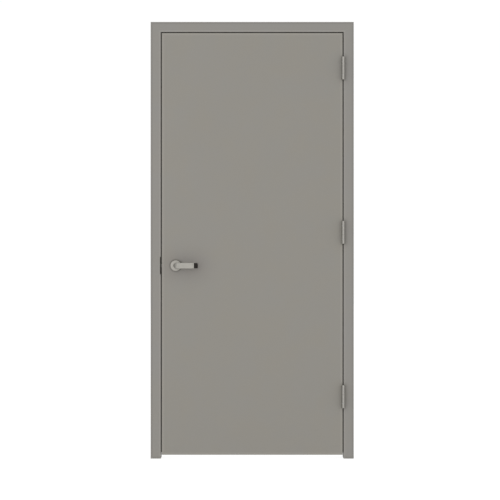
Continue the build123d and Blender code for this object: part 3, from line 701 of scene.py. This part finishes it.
def softened_piece(name, node, material, body, slot, width, places=(), head_radius=0.0, sheet=0.0):
    """Replaces a CAD node by a copy with its sharp edges rounded off and its screw holes countersunk."""
    work = bmesh.new()
    work.from_mesh(frame["nodes"][node].data)
    bmesh.ops.remove_doubles(work, verts=work.verts, dist=2e-6)
    bmesh.ops.dissolve_limit(work, angle_limit=math.radians(1.5), verts=work.verts, edges=work.edges)
    sharp = [edge for edge in work.edges
             if len(edge.link_faces) == 2 and edge.calc_face_angle(0) > math.radians(40)]
    bmesh.ops.bevel(work, geom=sharp, offset=width, segments=2, profile=0.5, affect="EDGES",
                    clamp_overlap=True)
    mesh = smooth_mesh(work, name, material)
    if places:
        mesh = level_normals(cut_with(mesh, countersink_cutters(places, head_radius, sheet), name))
    add_piece(name, mesh, body, slot, node)


def tree_piece(name, tree, values, mesh, body, slot):
    """Runs a geometry tree on a mesh and puts the plain result on its body."""
    carrier = hold(name, mesh)
    growth = carrier.modifiers.new("growth", "NODES")
    growth.node_group = tree
    for socket in tree.interface.items_tree:
        if socket.in_out == "INPUT" and socket.name in values:
            growth[socket.identifier] = values[socket.name]
    made = settle(carrier, name)
    while made.materials[0] is None:
        made.materials.pop(index=0)
    add_piece(name, made, body, slot)


def points_mesh(name, places):
    """Loose points with the direction that each one faces."""
    mesh = bpy.data.meshes.new(name)
    mesh.from_pydata([tuple(place) for place, _ in places], [], [])
    facing = mesh.attributes.new("facing", "FLOAT_VECTOR", "POINT")
    for index, (_, direction) in enumerate(places):
        facing.data[index].vector = direction
    return mesh


# Geometry trees

def geometry_tree(name, inputs):
    return new_tree("GeometryNodeTree", name, {"Geometry": GEOMETRY, **inputs, "Metal": MATERIAL})


def place_copies(bench, given, points, copy, rotation, scale=(1, 1, 1)):
    """Ends a tree: a copy at every point, made real and given its material."""
    copies = bench.read("GeometryNodeInstanceOnPoints", 0, {
        "Points": points, "Instance": copy, "Rotation": rotation, "Scale": scale})
    real = bench.read("GeometryNodeRealizeInstances", 0, {0: copies})
    coated = bench.read("GeometryNodeSetMaterial", 0, {"Geometry": real, "Material": given["Metal"]})
    bench.give(Geometry=coated)
    return bench.tree


def facing_rotation(bench):
    """Turns a copy's Z to the direction that its point faces."""
    direction = bench.read("GeometryNodeInputNamedAttribute", "Attribute", {"Name": "facing"},
                           data_type="FLOAT_VECTOR")
    return bench.read("FunctionNodeAlignRotationToVector", 0, {"Vector": direction}, axis="Z")


def pressed_ball(bench, segments, rings, radius, scale):
    """A smooth-shaded ball, pressed out of round."""
    ball = bench.read("GeometryNodeMeshUVSphere", 0, {"Segments": segments, "Rings": rings, "Radius": radius})
    pressed = bench.read("GeometryNodeTransform", 0, {"Geometry": ball, "Scale": scale})
    return bench.read("GeometryNodeSetShadeSmooth", 0, {"Geometry": pressed})


def build_screw_tree():
    """A countersunk screw with a cross recess at every point, each turned by its own amount."""
    bench, given = geometry_tree("Countersunk screws", {
        "Head Radius": 4.8 * MM, "Head Depth": 2.4 * MM, "Shank Radius": 2.7 * MM, "Recess Length": 5.4 * MM,
        "Recess Width": 1.3 * MM, "Recess Depth": 1.5 * MM, "Set Back": 0.15 * MM, "Seed": 7})
    head = bench.read("GeometryNodeMeshCone", 0, {
        "Vertices": 28, "Radius Top": given["Head Radius"], "Radius Bottom": given["Shank Radius"],
        "Depth": given["Head Depth"]})
    down = bench.combine(z=(given["Head Depth"] + given["Set Back"]) * -1.0)
    sunk = bench.read("GeometryNodeTransform", 0, {"Geometry": head, "Translation": down})
    deep = given["Recess Depth"] * 2.0
    cut = bench.add("GeometryNodeMeshBoolean", {"Mesh 1": sunk}, operation="DIFFERENCE", solver="EXACT")
    for x, y in (("Recess Length", "Recess Width"), ("Recess Width", "Recess Length")):
        arm = bench.read("GeometryNodeMeshCube", 0, {"Size": bench.combine(given[x], given[y], deep)})
        bench.feed(cut.inputs["Mesh 2"], arm)
    spin = bench.read("FunctionNodeAxisAngleToRotation", 0, {
        "Axis": (0, 0, 1), "Angle": bench.draw(given["Seed"], 0.0, math.pi)})
    turned = bench.read("FunctionNodeRotateRotation", 0, {
        "Rotation": facing_rotation(bench), "Rotate By": spin}, rotation_space="LOCAL")
    return place_copies(bench, given, given["Geometry"], Wire(bench, cut.outputs[0]), turned)


def build_nugget_tree():
    """A flattened spot weld at every point, a little different each time."""
    bench, given = geometry_tree("Spot welds", {
        "Nugget Radius": 3.0 * MM, "Nugget Height": 0.4 * MM, "Seed": 3})
    flat = bench.combine(1.0, 1.0, given["Nugget Height"] / given["Nugget Radius"])
    nugget = pressed_ball(bench, 16, 8, given["Nugget Radius"], flat)
    grow = bench.draw(given["Seed"], 0.85, 1.15)
    return place_copies(bench, given, given["Geometry"], nugget, facing_rotation(bench), grow)


def build_bead_tree():
    """Overlapping weld ripples along every edge of the mesh that it is given."""
    bench, given = geometry_tree("Weld bead", {
        "Bead Width": 5.0 * MM, "Bead Height": 1.2 * MM, "Ripple Spacing": 2.2 * MM, "Seed": 5})
    spacing = given["Ripple Spacing"]
    line = bench.read("GeometryNodeMeshToCurve", 0, {"Mesh": given["Geometry"]})
    spaced = bench.read("GeometryNodeResampleCurve", 0, {"Curve": line, "Length": spacing}, mode="LENGTH")
    size = bench.combine(spacing * 2.0, given["Bead Width"], given["Bead Height"] * 2.0)
    ripple = pressed_ball(bench, 12, 6, 0.5, size)
    tangent = bench.read("GeometryNodeInputTangent")
    along = bench.read("FunctionNodeAlignRotationToVector", 0, {"Vector": tangent}, axis="X")
    upright = bench.read("FunctionNodeAlignRotationToVector", 0, {
        "Rotation": along, "Vector": (0, 1, 0)}, axis="Z", pivot_axis="X")
    return place_copies(bench, given, spaced, ripple, upright, bench.draw(given["Seed"], 0.85, 1.1))


# Places taken from the CAD nodes

def middle_of(node):
    low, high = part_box(node)
    return (low + high) / 2


def rabbet_faces():
    """Where the two rabbets stand, strike side and hinge side."""
    low, high = CAD_BOX
    return low.x + FRAME_FACE, high.x - FRAME_FACE


def hinge_painted_shade(level):
    """Painted shade beside each hinge's knuckles, on both sides of the gap and a little more on the frame."""
    to_frame = Vector((2.5 * MM, 0, 0))
    patches = []
    for place in HINGE_PLACES:
        low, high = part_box(f"hinge_{place}_pin")
        half = Vector((KNUCKLE_RADIUS + 1 * MM, 22 * MM, (high.z - low.z) / 2))
        patches.append(((low + high) / 2 + to_frame, half, 0.0, 20 * MM, warm_grey(level)))
    return patches


def rose_painted_shade(level):
    """Painted shade round a rose on the leaf's sheet, deeper over the rose and in the corner above the bar's
    root.
    """
    low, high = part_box("rose_outside")
    centre = (low + high) / 2
    radius = (high.x - low.x) / 2
    over = centre + Vector((1 * MM, 0, 3 * MM))
    root = centre + Vector((27 * MM, 0, 20 * MM))
    return [(centre, THROUGH_LEAF, radius, 12 * MM, warm_grey(level)),
            (over, THROUGH_LEAF, radius, 8 * MM, warm_grey(0.86)),
            (root, THROUGH_LEAF, 3 * MM, 10 * MM, warm_grey(0.78))]


def lever_painted_shade():
    """Faint painted shade, a little pink, on the leaf all round the lever."""
    rose = middle_of("rose_outside")
    tip = middle_of("lever_tip_outside")
    half = Vector(((tip.x - rose.x) / 2, 0, 0)) + THROUGH_LEAF
    return [((rose + tip) / 2, half, 12 * MM, 130 * MM, (0.90, 0.882, 0.91))]


def neck_radius(side):
    """Half the width of a lever's round neck, which its rose fits round."""
    return middle_of(f"rose_{side}").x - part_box(f"lever_{side}")[0].x


def neck_painted_shade(level):
    """Painted shade on a rose's inner edge, round the lever's neck."""
    hole = neck_radius("outside") + NECK_CLEARANCE
    return [(middle_of("rose_outside"), THROUGH_LEAF, hole, 3 * MM, warm_grey(level))]


def hinge_screws(place, facing):
    """The four holes of one hinge leaf, in the usual stagger."""
    surface = rabbet_faces()[1] if facing < 0 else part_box("leaf_pull_face")[1].x
    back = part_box(f"hinge_{place}_frame_leaf")[1].y
    middle = middle_of(f"hinge_{place}_pin").z
    return [(Vector((surface, back - inset, middle + height)), facing * TO_HINGES)
            for height, inset in HINGE_HOLES]


def plate_screws(node, facing, y, height):
    """The two holes of a plate, above and below its middle."""
    low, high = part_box(node)
    face = high.x if facing > 0 else low.x
    middle = middle_of(node).z
    return [(Vector((face, y, middle + along)), facing * TO_HINGES) for along in (-height, height)]


def strike_screws():
    return plate_screws("strike_plate", 1, middle_of("latch_bolt").y, STRIKE_HOLE_HEIGHT)


def faceplate_screws():
    return plate_screws("latch_faceplate", -1, middle_of("latch_faceplate").y, FACEPLATE_HOLE_HEIGHT)


# Operators, one for each group of pieces

class FIREDOOR_OT_frame_paint(Operator):
    """Paint the pressed frame and prime its wall side"""
    bl_idname = "firedoor.frame_paint"
    bl_label = "Frame paint"

    def execute(self, context):
        colours = context.scene.fire_door_colours
        low, high = CAD_BOX
        strike_rabbet, hinge_rabbet = rabbet_faces()
        opening_low = Vector((strike_rabbet, low.y, -1.0))
        opening_high = Vector((hinge_rabbet, high.y, OPENING_HEIGHT))
        # Painted shade in a band 6.5 mm in from the frame's outer edges, and a painted highlight along the
        # opening's edges.
        rims = [(low, high, 6.5 * MM, 1 * MM, 4.5 * MM, 0.86),
                (opening_low, opening_high, 0.0, 7 * MM, 4 * MM, 1.09)]
        # Painted shade beside the hinge knuckles.
        coat_nodes(paint_material("frame_paint", colours.frame, rims=rims, primer=colours.primer,
                                  painted_shade=hinge_painted_shade(0.80)),
                   "frame_head", "frame_hinge_jamb", "frame_strike_jamb")
        return {"FINISHED"}


class FIREDOOR_OT_leaf_paint(Operator):
    """Paint the leaf's sheets and end channels"""
    bl_idname = "firedoor.leaf_paint"
    bl_label = "Leaf paint"

    def execute(self, context):
        colours = context.scene.fire_door_colours
        # Painted highlight in a band about 6 mm in from the leaf's edges.
        rim = (*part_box("leaf_pull_face"), 6 * MM, 3 * MM, 4 * MM, 1.10)
        # Painted shade beside the hinge knuckles, round the rose, and faintly all round the lever.
        painted_shade = hinge_painted_shade(0.80) + rose_painted_shade(0.62) + lever_painted_shade()
        coat_nodes(paint_material("leaf_paint", colours.leaf, rims=[rim], painted_shade=painted_shade),
                   "leaf_pull_face", "leaf_push_face")
        coat_nodes(paint_material("leaf_channel_paint", colours.leaf, dust=0.6, smoothest=0.5, roughest=0.7),
                   "leaf_top_channel", "leaf_bottom_channel")
        return {"FINISHED"}


class FIREDOOR_OT_hidden_steel(Operator):
    """Prime the reinforcements, anchors, feet and boxes, and give the core its honeycomb"""
    bl_idname = "firedoor.hidden_steel"
    bl_label = "Hidden steel and core"

    def execute(self, context):
        colours = context.scene.fire_door_colours
        coat_nodes(paint_material("primed_steel", colours.primer, cloud_depth=0.12, dust=0.5,
                                  smoothest=0.68, roughest=0.85),
                   "frame_hinge_reinforcements", "strike_reinforcement", "strike_box",
                   "floor_foot_hinge_side", "floor_foot_strike_side", "wall_anchors_hinge_side",
                   "wall_anchors_strike_side", "leaf_hinge_reinforcements", "lock_reinforcement")
        coat_nodes(honeycomb_material("core"), "leaf_core")
        coat_nodes(metal_material("lock_steel", colours.bright, (700, 60, 700), depth=0.08),
                   "latch_case", "spindle")
        # The chassis is the bright steel at 0.6 of its colour: painted shade for the hollow seen through the
        # rose's hole.
        coat_nodes(metal_material("chassis_steel", darker(colours.bright, 0.6), (500, 500, 500), depth=0.10,
                                  smoothest=0.4, roughest=0.55),
                   "lock_chassis")
        return {"FINISHED"}


class FIREDOOR_OT_welds(Operator):
    """Spot weld the hidden plates and run beads behind the mitres"""
    bl_idname = "firedoor.welds"
    bl_label = "Welds"

    def execute(self, context):
        sizes = context.scene.fire_door_sizes
        metal = weld_material("weld_metal")
        nuggets = reinforcement_nuggets() + foot_nuggets("hinge_side", 1) + foot_nuggets("strike_side", -1)
        tree_piece("spot_welds", build_nugget_tree(), {"Nugget Radius": sizes.weld_nugget, "Metal": metal},
                   points_mesh("nuggets", nuggets), "frame", "primed_steel")
        tree_piece("mitre_welds", build_bead_tree(), {"Bead Width": sizes.weld_bead, "Metal": metal},
                   mitre_lines(), "frame", "primed_steel")
        return {"FINISHED"}


def reinforcement_nuggets():
    """Spot welds above and below each hinge pocket, near both edges of the plate behind it."""
    low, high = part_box("frame_hinge_reinforcements")
    edge = 8 * MM
    joggle = 3.3 * MM
    nuggets = []
    for place in HINGE_PLACES:
        middle = middle_of(f"hinge_{place}_pin").z
        for height in (-86.0, -74.0, 74.0, 86.0):
            for y in (low.y + edge, high.y - edge):
                nuggets.append((Vector((high.x - joggle, y, middle + height * MM)), TO_HINGES))
    return nuggets


def foot_nuggets(side, facing):
    """Four spot welds that hold a floor foot's upright in its jamb."""
    low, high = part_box(f"floor_foot_{side}")
    sheet = 2 * MM
    face = low.x + sheet if facing > 0 else high.x - sheet
    return [(Vector((face, y, z)), facing * TO_HINGES)
            for y in (-15 * MM, 15 * MM) for z in (12 * MM, 21 * MM)]


def mitre_lines():
    """The four lines that the beads run along, behind both faces of both mitres."""
    strike_rabbet, hinge_rabbet = rabbet_faces()
    inset = 5 * MM
    top = CAD_BOX[1].z
    points = []
    for rabbet, into in ((hinge_rabbet, 1), (strike_rabbet, -1)):
        for y in (PULL_FACE + FRAME_SHEET, PULL_FACE + JAMB_DEPTH - FRAME_SHEET):
            points += [(rabbet + into * inset, y, OPENING_HEIGHT + inset),
                       (rabbet + into * (FRAME_FACE - inset), y, top - inset)]
    mesh = bpy.data.meshes.new("bead_lines")
    mesh.from_pydata(points, [(start, start + 1) for start in range(0, len(points), 2)], [])
    return mesh


class FIREDOOR_OT_hinges(Operator):
    """Make the hinge leaves, pins and bearing collars"""
    bl_idname = "firedoor.hinges"
    bl_label = "Hinges"

    def execute(self, context):
        colours = context.scene.fire_door_colours
        sizes = context.scene.fire_door_sizes
        # Painted highlight along the knuckles' crest, set 1.2 mm off the pins towards the hinge jamb, with
        # painted shade on their flanks.
        crest = middle_of("hinge_top_pin").x + 1.2 * MM
        steel = metal_material("hinge_steel", colours.hinge, (900, 900, 70), depth=0.03, wear=0.15,
                               smoothest=0.40, roughest=0.52, crest=crest)
        pin_steel = metal_material("hinge_pin", colours.bright, (300, 300, 300), depth=0.06, wear=0.2)
        for place in HINGE_PLACES:
            for part, facing, body in (("frame_leaf", -1, "frame"), ("door_leaf", 1, "leaf")):
                node = f"hinge_{place}_{part}"
                softened_piece(f"{node}_plate", node, steel, body, "hinge_steel", sizes.soft_edge,
                               hinge_screws(place, facing), sizes.screw_head, HINGE_SHEET)
            for part, piece, edge in (("pin", "pin_rod", 0.6 * MM), ("bearings", "bearing_rings", 0.5 * MM)):
                softened_piece(f"hinge_{place}_{piece}", f"hinge_{place}_{part}", pin_steel, "frame",
                               "hinge_pin", edge)
        return {"FINISHED"}


class FIREDOOR_OT_screws(Operator):
    """Set countersunk screws in the hinges, the strike and the latch faceplate"""
    bl_idname = "firedoor.screws"
    bl_label = "Screws"

    def execute(self, context):
        sizes = context.scene.fire_door_sizes
        steel = metal_material("screw_steel", context.scene.fire_door_colours.bright, (300, 300, 300),
                               depth=0.08, wear=0.3)
        tree = build_screw_tree()
        values = {"Head Radius": sizes.screw_head, "Recess Length": sizes.screw_recess,
                  "Seed": sizes.screw_seed, "Metal": steel}
        for body, facing, others in (("frame", -1, strike_screws()), ("leaf", 1, faceplate_screws())):
            places = [spot for place in HINGE_PLACES for spot in hinge_screws(place, facing)] + others
            tree_piece(f"{body}_screws", tree, values, points_mesh(f"{body}_screw_points", places), body,
                       "hinge_steel")
        return {"FINISHED"}


class FIREDOOR_OT_lever_set(Operator):
    """Make both levers with their black ends and their roses"""
    bl_idname = "firedoor.lever_set"
    bl_label = "Lever set"

    def execute(self, context):
        colours = context.scene.fire_door_colours
        sizes = context.scene.fire_door_sizes
        worn = (0.36, 0.35, 0.32)
        satin = metal_material("lever_metal", colours.lever, (60, 900, 900), depth=0.04, wear=0.12,
                               smoothest=0.36, roughest=0.50, worn=worn, metallic=0.85)
        # The rose's metal is the lever's colour times 1.32, a painted highlight on its front, with painted
        # shade round its inner edge.
        turned = metal_material("rose_metal", darker(colours.lever, 1.32), (500, 500, 500), depth=0.035,
                                wear=0.08, smoothest=0.46, roughest=0.60, worn=worn, metallic=0.85,
                                painted_shade=neck_painted_shade(0.75))
        rubber = rubber_material("tip_rubber", colours.tip, (0.030, 0.024, 0.019), sheen=0.25)
        for side, outward in (("outside", -1), ("inside", 1)):
            make_rose(side, outward, turned, sizes)
            make_lever(side, outward, satin, sizes)
            make_tip(side, outward, rubber, sizes)
        return {"FINISHED"}


def sheet_face(side, outward):
    """Where a rose meets the leaf's sheet."""
    low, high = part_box(f"rose_{side}")
    return high.y if outward < 0 else low.y


def make_rose(side, outward, material, sizes):
    """A turned cover with a rounded rim and a small step round its hole."""
    low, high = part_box(f"rose_{side}")
    centre = (low + high) / 2
    height = high.y - low.y
    radius = (high.x - low.x) / 2
    edge = sizes.rose_edge
    hole = neck_radius(side) + NECK_CLEARANCE
    lip = 0.9 * MM
    profile = [(hole, 0), (hole, height - lip), (hole + 0.25 * MM, height - 0.3 * MM), (hole + lip, height)]
    for angle in quarter_turn(8):
        profile.append((radius - edge + edge * math.sin(angle), height - edge + edge * math.cos(angle)))
    foot = 0.4 * MM
    profile += [(radius, foot), (radius - foot, 0)]
    work = bmesh.new()
    lathe(work, profile, (centre.x, sheet_face(side, outward), centre.z), (0, outward, 0), 96)
    name = f"rose_{side}"
    add_piece(f"{name}_cover", smooth_mesh(work, name, material, 50), "leaf", "lever_metal", name)


def make_lever(side, outward, material, sizes):
    """A round neck that turns into a flat bar, with a collar at the black end."""
    low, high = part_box(f"lever_tip_{side}")
    spindle = middle_of(f"rose_{side}")
    face = sheet_face(side, outward)
    neck = neck_radius(side)
    reach = abs((low.y + high.y) / 2 - face)
    half_thick = (high.y - low.y) / 2
    half_high = (high.z - low.z) / 2
    corner = sizes.grip_corner
    out_axis = Vector((0, outward, 0))
    sections = []

    def section(centre, across, share, grow=0.0):
        """A section between the round neck, share 0, and the bar, share 1."""
        ease = share * share * (3 - 2 * share)
        half_across = neck + (half_thick - neck) * ease + grow
        half_up = neck + (half_high - neck) * ease + grow
        round_off = min(neck + (corner - neck) * ease + grow, half_across, half_up) * 0.9999
        sections.append((centre, across, rounded_section(half_across, half_up, round_off)))

    round_length = 18 * MM
    change_length = reach - round_length + 12 * MM
    start = Vector((spindle.x, face, spindle.z))
    section(start + out_axis * 1.0 * MM, TO_HINGES, 0.0, -0.4 * MM)
    for out in (1.6, 6.0, 12.0, 18.0):
        section(start + out_axis * out * MM, TO_HINGES, 0.0)
    for out in (22.0, 26.0):
        section(start + out_axis * out * MM, TO_HINGES, (out * MM - round_length) / change_length)
    elbow = 9.5 * MM
    turn = start + out_axis * (reach - elbow)
    for angle in quarter_turn(12):
        centre = turn + TO_HINGES * elbow * (1 - math.cos(angle)) + out_axis * elbow * math.sin(angle)
        across = TO_HINGES * math.cos(angle) - out_axis * math.sin(angle)
        section(centre, across, min(1.0, (reach - elbow - round_length + elbow * angle) / change_length))

    bar = Vector((spindle.x, face + outward * reach, spindle.z))
    end = low.x - spindle.x
    collar = 5.0 * MM
    lap = 1.2 * MM
    section(bar + TO_HINGES * (19 * MM), -out_axis, 0.97)
    for x in (24 * MM, 45 * MM, 66 * MM, end - collar - 0.6 * MM):
        section(bar + TO_HINGES * x, -out_axis, 1.0)
    groove = -0.2 * MM
    ridge = 0.48 * MM
    for x, grow in ((-collar - 0.35 * MM, groove), (-collar - 0.1 * MM, groove), (-collar, 0.25 * MM),
                    (-collar + 0.25 * MM, ridge), (lap - 0.2 * MM, ridge), (lap, 0.3 * MM)):
        section(bar + TO_HINGES * (end + x), -out_axis, 1.0, grow)
    name = f"lever_{side}"
    mesh = smooth_mesh(loft(sections), name, material, 40)
    add_piece(f"{name}_grip", mesh, "lever_set", "lever_metal", name)


def make_tip(side, outward, material, sizes):
    """The black end: a block a little smaller than the collar, rounded over at its far end."""
    low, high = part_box(f"lever_tip_{side}")
    centre = (low + high) / 2
    shoulder = 1.2 * MM
    half_thick = (high.y - low.y) / 2 - shoulder
    half_high = (high.z - low.z) / 2 - shoulder
    bend = sizes.tip_corner
    sections = []

    def section(x, inset):
        round_off = min(max(sizes.grip_corner - inset * 0.5, 1 * MM), half_thick - inset) * 0.9999
        points = rounded_section(half_thick - inset, half_high - inset, round_off)
        sections.append((Vector((x, centre.y, centre.z)), Vector((0, -outward, 0)), points))

    section(low.x, 0.2 * MM)
    section(low.x + 0.7 * MM, 0.0)
    section(low.x + 6 * MM, 0.0)
    for angle in quarter_turn(9):
        section(high.x - bend + bend * math.sin(angle), bend * (1 - math.cos(angle)))
    name = f"lever_tip_{side}"
    add_piece(f"{name}_cap", smooth_mesh(loft(sections), name, material, 50), "lever_set", "tip_rubber", name)


class FIREDOOR_OT_latch_and_strike(Operator):
    """Make the strike plate with its curled lip, the latch faceplate and the latch bolt"""
    bl_idname = "firedoor.latch_and_strike"
    bl_label = "Latch and strike"

    def execute(self, context):
        colours = context.scene.fire_door_colours
        sizes = context.scene.fire_door_sizes
        dark = metal_material("dark_strike", colours.strike, (600, 600, 90), depth=0.15, wear=0.5,
                              smoothest=0.35, roughest=0.55, worn=(0.30, 0.28, 0.25))
        bright = metal_material("latch_steel", colours.bright, (700, 700, 60), depth=0.08, wear=0.3)
        # The latch bolt is the bright steel at 0.22 of its colour: painted shade, so that it stays dark in
        # the gap.
        gap_shaded_bolt_steel = metal_material("latch_bolt_steel", darker(colours.bright, 0.22), (700, 60, 700),
                                 depth=0.12, wear=0.2)
        softened_piece("strike_lip_plate", "strike_plate", dark, "frame", "dark_strike", sizes.soft_edge,
                       strike_screws(), sizes.screw_head, STRIKE_SHEET)
        softened_piece("latch_face_plate", "latch_faceplate", bright, "leaf", "lock_steel", sizes.soft_edge,
                       faceplate_screws(), sizes.screw_head, FACEPLATE_SHEET)
        softened_piece("latch_bolt_nose", "latch_bolt", gap_shaded_bolt_steel, "latch", "lock_steel", 0.5 * MM)
        return {"FINISHED"}


class FIREDOOR_OT_silencers(Operator):
    """Make the rubber buttons on the strike jamb's stop"""
    bl_idname = "firedoor.silencers"
    bl_label = "Silencers"

    def execute(self, context):
        colours = context.scene.fire_door_colours
        rubber = rubber_material("silencer_rubber", colours.rubber, (0.17, 0.17, 0.16))
        low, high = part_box("silencers")
        radius = (high.x - low.x) / 2
        stop_face = PULL_FACE + PULL_RABBET
        thick = stop_face - low.y
        stem_end = stop_face - high.y
        stem_radius = 3.0 * MM
        button = [(0, 0), (radius * 0.93, 0), (radius, 0.5 * MM), (radius, thick * 0.45),
                  (radius * 0.95, thick * 0.7), (radius * 0.8, thick * 0.88), (radius * 0.5, thick * 0.97),
                  (0, thick)]
        stem = [(0, stem_end), (2.2 * MM, stem_end), (stem_radius, -2 * MM), (stem_radius, 0.2 * MM),
                (0, 0.2 * MM)]
        work = bmesh.new()
        for z in (low.z + radius, (low.z + high.z) / 2, high.z - radius):
            for profile, segments in ((button, 36), (stem, 24)):
                lathe(work, profile, ((low.x + high.x) / 2, stop_face, z), (0, -1, 0), segments)
        add_piece("silencer_buttons", smooth_mesh(work, "buttons", rubber, 50), "frame", "silencer_rubber",
                  "silencers")
        return {"FINISHED"}


class FIREDOOR_OT_stage(Operator):
    """Set up the floor, the white surround, the soft light and the camera"""
    bl_idname = "firedoor.stage"
    bl_label = "Stage"

    def execute(self, context):
        stage = context.scene.fire_door_stage
        context.scene.view_settings.view_transform = "Standard"
        lay_floor()
        light_surround(context.scene, stage)

        lamp = bpy.data.lights.new("front light", "AREA")
        lamp.shape = "SQUARE"
        lamp.size = 5.0
        lamp.energy = stage.front
        light = hold("front light", lamp)
        lamp_stand = Vector((DOOR_MIDDLE - 1.6, -9.0, 1.2))
        door_centre = Vector((DOOR_MIDDLE, 0, 1.05))
        light.location = lamp_stand
        light.rotation_euler = (door_centre - lamp_stand).to_track_quat("-Z", "Y").to_euler()
        light.visible_camera = False

        lens = bpy.data.cameras.new("camera")
        lens.lens = stage.lens
        lens.sensor_width = 36
        lens.clip_end = 200
        camera = hold("camera", lens)
        distance = stage.view_width * stage.lens / lens.sensor_width
        camera.location = (DOOR_MIDDLE - stage.view_shift, PULL_FACE - distance, stage.view_height)
        camera.rotation_euler = (math.pi / 2, 0, 0)
        context.scene.camera = camera
        return {"FINISHED"}


def lay_floor():
    """A wide pale floor that looks white to the camera and lights the door softly from below."""
    half = 40.0
    ground = bpy.data.meshes.new("floor")
    ground.from_pydata([(-half, -half, 0), (half, -half, 0), (half, half, 0), (-half, half, 0)], [],
                       [(0, 1, 2, 3)])
    material, bench, place, shader = blank_material("pale_floor")
    cloud = bench.noise(place, 0.8, 3.0).remap(0.3, 0.7, 0.20, 0.22)
    pale = bench.read("ShaderNodeCombineColor", 0, {0: cloud, 1: cloud, 2: cloud})
    seen = bench.read("ShaderNodeLightPath", "Is Camera Ray")
    bench.feed(shader["Base Color"], pale)
    bench.feed(shader["Roughness"], 0.9)
    bench.feed(shader["Specular IOR Level"], 0.0)
    bench.feed(shader["Emission Color"], WHITE)
    bench.feed(shader["Emission Strength"], seen.remap(0.0, 1.0, 0.61, 0.91))
    ground.materials.append(material)
    hold("floor", ground)


def light_surround(scene, stage):
    """A surround that is pure white to the camera and lights the door evenly."""
    full_white = 1.02
    world = bpy.data.worlds.new("white surround")
    scene.world = world
    world.use_nodes = True
    world.node_tree.nodes.clear()
    sky = Bench(world.node_tree)
    lit = sky.read("ShaderNodeBackground", 0, {"Color": WHITE, "Strength": stage.sky})
    seen = sky.read("ShaderNodeBackground", 0, {"Color": WHITE, "Strength": full_white})
    looked_at = sky.read("ShaderNodeLightPath", "Is Camera Ray")
    both = sky.read("ShaderNodeMixShader", 0, {0: looked_at, 1: lit, 2: seen})
    sky.add("ShaderNodeOutputWorld", {0: both})


STEPS = (
    FIREDOOR_OT_frame_paint,
    FIREDOOR_OT_leaf_paint,
    FIREDOOR_OT_hidden_steel,
    FIREDOOR_OT_welds,
    FIREDOOR_OT_hinges,
    FIREDOOR_OT_screws,
    FIREDOOR_OT_lever_set,
    FIREDOOR_OT_latch_and_strike,
    FIREDOOR_OT_silencers,
    FIREDOOR_OT_stage,
)

GROUPS = (
    ("fire_door_colours", FireDoorColours),
    ("fire_door_sizes", FireDoorSizes),
    ("fire_door_stage", FireDoorStage),
)


class FIREDOOR_PT_sidebar(Panel):
    """Lists the steps that dress the door"""
    bl_label = "Fire Door"
    bl_idname = "FIREDOOR_PT_sidebar"
    bl_space_type = "VIEW_3D"
    bl_region_type = "UI"
    bl_category = "Fire Door"

    def draw(self, context):
        for step in STEPS:
            self.layout.operator(step.bl_idname)
        for name, group in GROUPS:
            box = self.layout.box()
            for value in group.__annotations__:
                box.prop(getattr(context.scene, name), value)


def register():
    for name, group in GROUPS:
        bpy.utils.register_class(group)
        setattr(bpy.types.Scene, name, PointerProperty(type=group))
    for step in STEPS:
        bpy.utils.register_class(step)
    bpy.utils.register_class(FIREDOOR_PT_sidebar)


def unregister():
    bpy.utils.unregister_class(FIREDOOR_PT_sidebar)
    for step in reversed(STEPS):
        bpy.utils.unregister_class(step)
    for name, group in reversed(GROUPS):
        delattr(bpy.types.Scene, name)
        bpy.utils.unregister_class(group)


def main():
    register()
    for build in SHADER_GROUPS:
        build()
    bpy.ops.firedoor.frame_paint()
    bpy.ops.firedoor.leaf_paint()
    bpy.ops.firedoor.hidden_steel()
    bpy.ops.firedoor.welds()
    bpy.ops.firedoor.hinges()
    bpy.ops.firedoor.screws()
    bpy.ops.firedoor.lever_set()
    bpy.ops.firedoor.latch_and_strike()
    bpy.ops.firedoor.silencers()
    bpy.ops.firedoor.stage()


if __name__ == "__main__":
    main()
